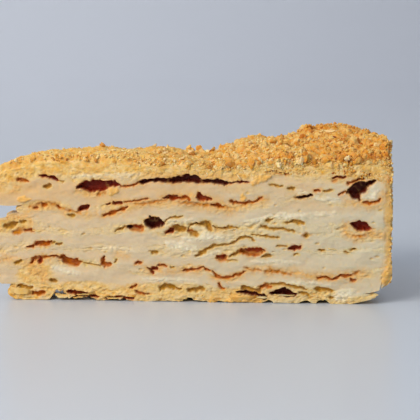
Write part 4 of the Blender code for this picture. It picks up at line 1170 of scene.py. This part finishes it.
def build_leaves(name, leaves, seed, materials, replaced):
    """Thin, ragged and curled leaves of pastry, joined in one piece."""
    draw = np.random.default_rng(seed)
    along, cross, side, quads = leaf_shape()
    all_corners, all_tints, all_quads = [], [], []
    for number, leaf in enumerate(leaves):
        ragged = 1 + 0.28 * ripple(along * 2.2 + number * 9.1, cross * 1.3, seed)
        narrowed = np.sqrt(np.maximum(0.08, 1 - 0.85 * along**2))
        x = along * leaf.length / 2 * ragged
        y = cross * leaf.depth / 2 * narrowed
        y = y * (1 + 0.35 * ripple(along * 2.6, cross + number * 5.3, seed + 1))
        curl = draw.uniform(-0.06, 0.10) * leaf.length * along**2
        curl = curl + draw.uniform(-0.2, 0.2) * leaf.depth * cross
        bumps = 0.16 * ripple(along * 3 + number * 3.7, cross * 2, seed + 2)
        z = curl + bumps + side * leaf.thickness / 2 * (1 - 0.4 * np.abs(along))
        y, z = turned(y, z, math.radians(leaf.tilt))
        x, z = turned(x, z, math.radians(leaf.climb))
        x, y = turned(x, y, leaf.heading)
        toast = leaf.toast + 0.12 * ripple(along * 2, cross * 2 + number, seed + 3) + 0.08 * np.abs(along)
        all_tints.append(browned(PASTRY_RIM * 1.05, np.clip(toast, 0, 0.9)))
        all_quads.append(quads + number * len(x))
        all_corners.append(np.stack([x, y, z], axis=1) + leaf.place)
    corners, tints, faces = (np.concatenate(part) for part in (all_corners, all_tints, all_quads))
    return add_piece(name, corners, faces, tints, materials["pastry"], "pastry", replaced)


def clear_of_hollows(cut, distance, height):
    """Whether a leaf there would stay out of every hollow."""
    at, level = np.array([distance]), np.array([height])
    hollows = (one for one in cut.marks if one.kind.order >= HOLLOW_ORDER)
    return all(inside_by(one.spine, at, level)[0] < -0.7 for one in hollows)


def pick_cut_leaves(cuts):
    """Small leaves along the flaky sheets."""
    draw = np.random.default_rng(CUT_LEAF_PLACES_SEED)
    leaves = []
    for cut in cuts:
        for number, layer in enumerate(LAYERS):
            for _ in range(LEAVES_IN_SHEET.get(layer.name, 0)):
                distance = draw.uniform(14, 112)
                low, high = cut.boundary(number, distance), cut.boundary(number + 1, distance)
                height = max(0.5, lerp(low, high, draw.uniform(0.1, 0.95)))
                depth = draw.uniform(0.6, 1.1)
                if not clear_of_hollows(cut, distance, height):
                    continue
                place = on_cut(distance, cut.across, height, depth * draw.uniform(0.30, 0.50))
                length, climb, tilt = draw.uniform(1.2, 3.6), draw.uniform(-12, 12), draw.uniform(-12, 12)
                toast = layer.toast + draw.uniform(-0.05, 0.12)
                heading = SLICE_ANGLE * cut.across
                leaves.append(Leaf(place, length, depth, CUT_LEAF_THICKNESS, climb, tilt, heading, toast))
    return leaves


def pick_foot_leaves(cuts):
    """Larger leaves that stick out at the foot."""
    draw = np.random.default_rng(FOOT_LEAF_PLACES_SEED)
    leaves = [
        Leaf(on_cut(distance, 0, height, inset), *form)
        for distance, height, inset, *form in FRONT_FOOT_LEAVES
    ]
    for cut in cuts:
        for number in range(FOOT_LEAVES):
            distance = lerp(9, 108, (number + draw.uniform(0.1, 0.9)) / FOOT_LEAVES)
            depth = draw.uniform(1.6, 3.4)
            inset = depth * 0.5 - draw.uniform(0.0, 0.5)
            place = on_cut(distance, cut.across, draw.uniform(0.5, 2.4), inset)
            length, climb, tilt = draw.uniform(3.0, 6.5), draw.uniform(-9, 9), draw.uniform(-10, 10)
            toast, heading = draw.uniform(0.02, 0.34), SLICE_ANGLE * cut.across
            leaves.append(Leaf(place, length, depth, FOOT_LEAF_THICKNESS, climb, tilt, heading, toast))
    return leaves


# ---------------------------------------------------------------- materials


def fill_inputs(tree, node, inputs):
    """Gives each named input of a node its value, or a link where the value is another node's output."""
    for name, value in inputs.items():
        if isinstance(value, bpy.types.NodeSocket):
            tree.links.new(value, node.inputs[name])
        else:
            node.inputs[name].default_value = value


def add_node(tree, kind, inputs, **settings):
    """A new node with its inputs filled. Its settings, which may change the inputs it has, come first."""
    node = tree.nodes.new(kind)
    for name, value in settings.items():
        setattr(node, name, value)
    fill_inputs(tree, node, inputs)
    return node


def start_material(name):
    """A new material with its node tree, its shader, and the places on the object that it is painted by."""
    material = bpy.data.materials.new(name)
    material.use_nodes = True
    tree = material.node_tree
    place = add_node(tree, "ShaderNodeTexCoord", {}).outputs["Object"]
    return material, tree, tree.nodes["Principled BSDF"], place


def new_material(name, rough, grain_size, grain_depth, variation, scatter):
    """A food surface: the piece's own colours, finely mottled and grained, and a little translucent."""
    material, tree, shader, place = start_material(name)

    def noise_at(size, detail):
        inputs = {"Vector": place, "Scale": 1 / (size * MM), "Detail": detail, "Roughness": 0.6}
        return add_node(tree, "ShaderNodeTexNoise", inputs).outputs["Fac"]

    def varied(size, detail, middle, swing):
        """Wanders between middle - swing and middle + swing."""
        inputs = {"Value": noise_at(size, detail), "From Min": 0.3, "From Max": 0.7}
        inputs.update({"To Min": middle - swing, "To Max": middle + swing})
        return add_node(tree, "ShaderNodeMapRange", inputs).outputs["Result"]

    mottled = {
        "Color": add_node(tree, "ShaderNodeVertexColor", {}, layer_name="Tint").outputs["Color"],
        "Value": varied(grain_size * 2, 3, 1, variation),
        "Saturation": varied(grain_size * 4, 2, 1, variation),
    }
    bump = {"Strength": 0.6, "Distance": grain_depth * MM, "Height": noise_at(grain_size, 4)}
    surface = {
        "Base Color": add_node(tree, "ShaderNodeHueSaturation", mottled).outputs["Color"],
        "Roughness": varied(grain_size * 3, 2, rough, 0.1),
        "Normal": add_node(tree, "ShaderNodeBump", bump).outputs["Normal"],
        "Subsurface Weight": scatter,
        "Subsurface Radius": (1.0, 0.6, 0.3),
        "Subsurface Scale": 0.6 * MM,
        "Specular IOR Level": 0.3,
    }
    fill_inputs(tree, shader, surface)
    return material


def add_materials():
    """For each slot: how rough, its grain's size and depth, how much its colour varies, and how milky."""
    return {
        "pastry": new_material("puff_pastry", 0.72, 0.28, 0.14, 0.06, 0.15),
        "cream": new_material("custard_cream", 0.55, 0.45, 0.04, 0.025, 0.30),
        "crumb": new_material("golden_crumbs", 0.80, 0.25, 0.10, 0.06, 0.40),
    }


# ---------------------------------------------------------------- stage


CAMERA_TARGET = Vector((0.0064, -0.0345, 0.0297))
CAMERA_AZIMUTH = math.radians(4)
CAMERA_ELEVATION = math.radians(8)
CAMERA_DISTANCE = 0.50
CAMERA_LENS = 135.6
KEY_PLACE = (-0.60, -0.75, 0.62)
KEY_SIZE = 0.80
KEY_POWER = 12.1
KEY_TINT = (1.0, 0.975, 0.94)
SKY_TINT = (0.86, 0.92, 1.0, 1)
SKY_STRENGTH = 0.74


def add_camera():
    data = bpy.data.cameras.new("camera")
    data.lens = CAMERA_LENS
    data.sensor_width = 36
    data.clip_start = 0.01
    camera = bpy.data.objects.new("camera", data)
    level = math.cos(CAMERA_ELEVATION)
    sideways, forward = math.sin(CAMERA_AZIMUTH) * level, math.cos(CAMERA_AZIMUTH) * level
    back = Vector((sideways, -forward, math.sin(CAMERA_ELEVATION)))
    camera.location = CAMERA_TARGET + back * CAMERA_DISTANCE
    camera.rotation_euler = (-back).to_track_quat("-Z", "Y").to_euler()
    bpy.context.scene.collection.objects.link(camera)
    bpy.context.scene.camera = camera


def add_light(name, place, size, power, color):
    data = bpy.data.lights.new(name, "AREA")
    data.shape = "DISK"
    data.size = size
    data.energy = power
    data.color = color
    light = bpy.data.objects.new(name, data)
    light.location = place
    light.rotation_euler = (CAMERA_TARGET - Vector(place)).to_track_quat("-Z", "Y").to_euler()
    light.visible_camera = False
    light.visible_glossy = False
    bpy.context.scene.collection.objects.link(light)


FIRST_COLOR, SECOND_COLOR, MIXED_COLOR = 6, 7, 2  # the numbers of a mix node's sockets for colours
# The wall is painted lighter than the floor, and lighter on the left than on the right: painted light for the
# key light's falloff
FLOOR_TINT = (0.56, 0.59, 0.63, 1)
WALL_TINT_LEFT = (0.90, 0.905, 0.94, 1)
WALL_TINT_RIGHT = (0.60, 0.61, 0.65, 1)


def stage_material():
    """Pale and softly glossy, painted lighter behind the slice than round it and lighter on the left than
    right, as painted light.
    """
    material, tree, shader, place = start_material("pale_stage")
    parts = add_node(tree, "ShaderNodeSeparateXYZ", {"Vector": place})

    def share_of(source, start, end):
        inputs = {"Value": parts.outputs[source], "From Min": start, "From Max": end}
        node = add_node(tree, "ShaderNodeMapRange", inputs, interpolation_type="SMOOTHSTEP")
        return node.outputs["Result"]

    def mixed(share, first, second):
        inputs = {"Factor": share, FIRST_COLOR: first, SECOND_COLOR: second}
        return add_node(tree, "ShaderNodeMix", inputs, data_type="RGBA").outputs[MIXED_COLOR]

    wall = mixed(share_of("X", -0.40, 0.50), WALL_TINT_LEFT, WALL_TINT_RIGHT)
    color = mixed(share_of("Y", 0.0, 1.0), FLOOR_TINT, wall)
    fill_inputs(tree, shader, {"Base Color": color, "Roughness": 0.32})
    return material


def add_stage():
    """A pale floor that curves up into a wall all round."""
    flat, corner, wall = 1.0, 0.8, 1.2
    rings = [(radius, 0.0) for radius in (0.0, 0.25, 0.5, 0.75)]
    rings += [
        (flat + corner * math.sin(math.radians(turn)), corner * (1 - math.cos(math.radians(turn))))
        for turn in range(0, 91, 5)
    ]
    rings.append((flat + corner, corner + wall))
    profile = bmesh.new()
    corners = [profile.verts.new((radius, 0, height)) for radius, height in rings]
    edges = [profile.edges.new(pair) for pair in zip(corners, corners[1:])]
    bmesh.ops.spin(profile, geom=corners + edges, axis=(0, 0, 1), cent=(0, 0, 0), angle=2 * math.pi, steps=96)
    bmesh.ops.remove_doubles(profile, verts=profile.verts, dist=1e-5)
    bmesh.ops.recalc_face_normals(profile, faces=profile.faces)
    mesh = bpy.data.meshes.new("stage")
    profile.to_mesh(mesh)
    profile.free()
    mesh.shade_smooth()
    floor = bpy.data.objects.new("stage", mesh)
    bpy.context.scene.collection.objects.link(floor)
    mesh.materials.append(stage_material())


def add_lights():
    """Soft cool light from all round, and a large warmer light from the front left."""
    world = bpy.data.worlds.new("soft_light")
    world.use_nodes = True
    tree = world.node_tree
    fill_inputs(tree, tree.nodes["Background"], {"Color": SKY_TINT, "Strength": SKY_STRENGTH})
    bpy.context.scene.world = world
    add_light("key", KEY_PLACE, KEY_SIZE, KEY_POWER, KEY_TINT)
    bpy.context.scene.view_settings.view_transform = "Standard"


# ---------------------------------------------------------------- all of it


def main():
    materials = add_materials()
    cuts = [
        Cut(0, FRONT_MARKS, CRUMB_REACH, FRONT_SEED),
        Cut(1, pick_back_marks(), BACK_CRUMB_REACH, BACK_SEED),
    ]
    for number, layer in enumerate(LAYERS):
        build_layer(number, layer, cuts, materials)
    build_topping(cuts, materials)
    build_coat(cuts, materials)
    for scatter in (FINE_CRUMBS, MEDIUM_CRUMBS):
        build_crumbs(scatter, place_top_crumbs, materials, ["crumb_topping"])
    build_crumbs(COARSE_CRUMBS, place_coarse_crumbs, materials, ["crumb_topping"])
    for scatter in (COAT_FINE_CRUMBS, COAT_MEDIUM_CRUMBS):
        build_crumbs(scatter, place_coat_crumbs, materials, ["rim_coat"])
    cut_leaves, foot_leaves = pick_cut_leaves(cuts), pick_foot_leaves(cuts)
    build_leaves("cut_leaves", cut_leaves, CUT_LEAF_SHAPES_SEED, materials, ["pastry_3", "pastry_4"])
    build_leaves("foot_leaves", foot_leaves, FOOT_LEAF_SHAPES_SEED, materials, ["bottom_pastry"])
    add_stage()
    add_lights()
    add_camera()


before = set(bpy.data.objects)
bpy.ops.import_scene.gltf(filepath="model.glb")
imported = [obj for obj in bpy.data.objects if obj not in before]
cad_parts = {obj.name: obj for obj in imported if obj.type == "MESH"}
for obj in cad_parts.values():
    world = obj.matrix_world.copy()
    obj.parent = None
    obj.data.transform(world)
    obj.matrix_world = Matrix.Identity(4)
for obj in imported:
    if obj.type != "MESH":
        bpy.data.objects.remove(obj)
CAD_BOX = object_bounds()
main()
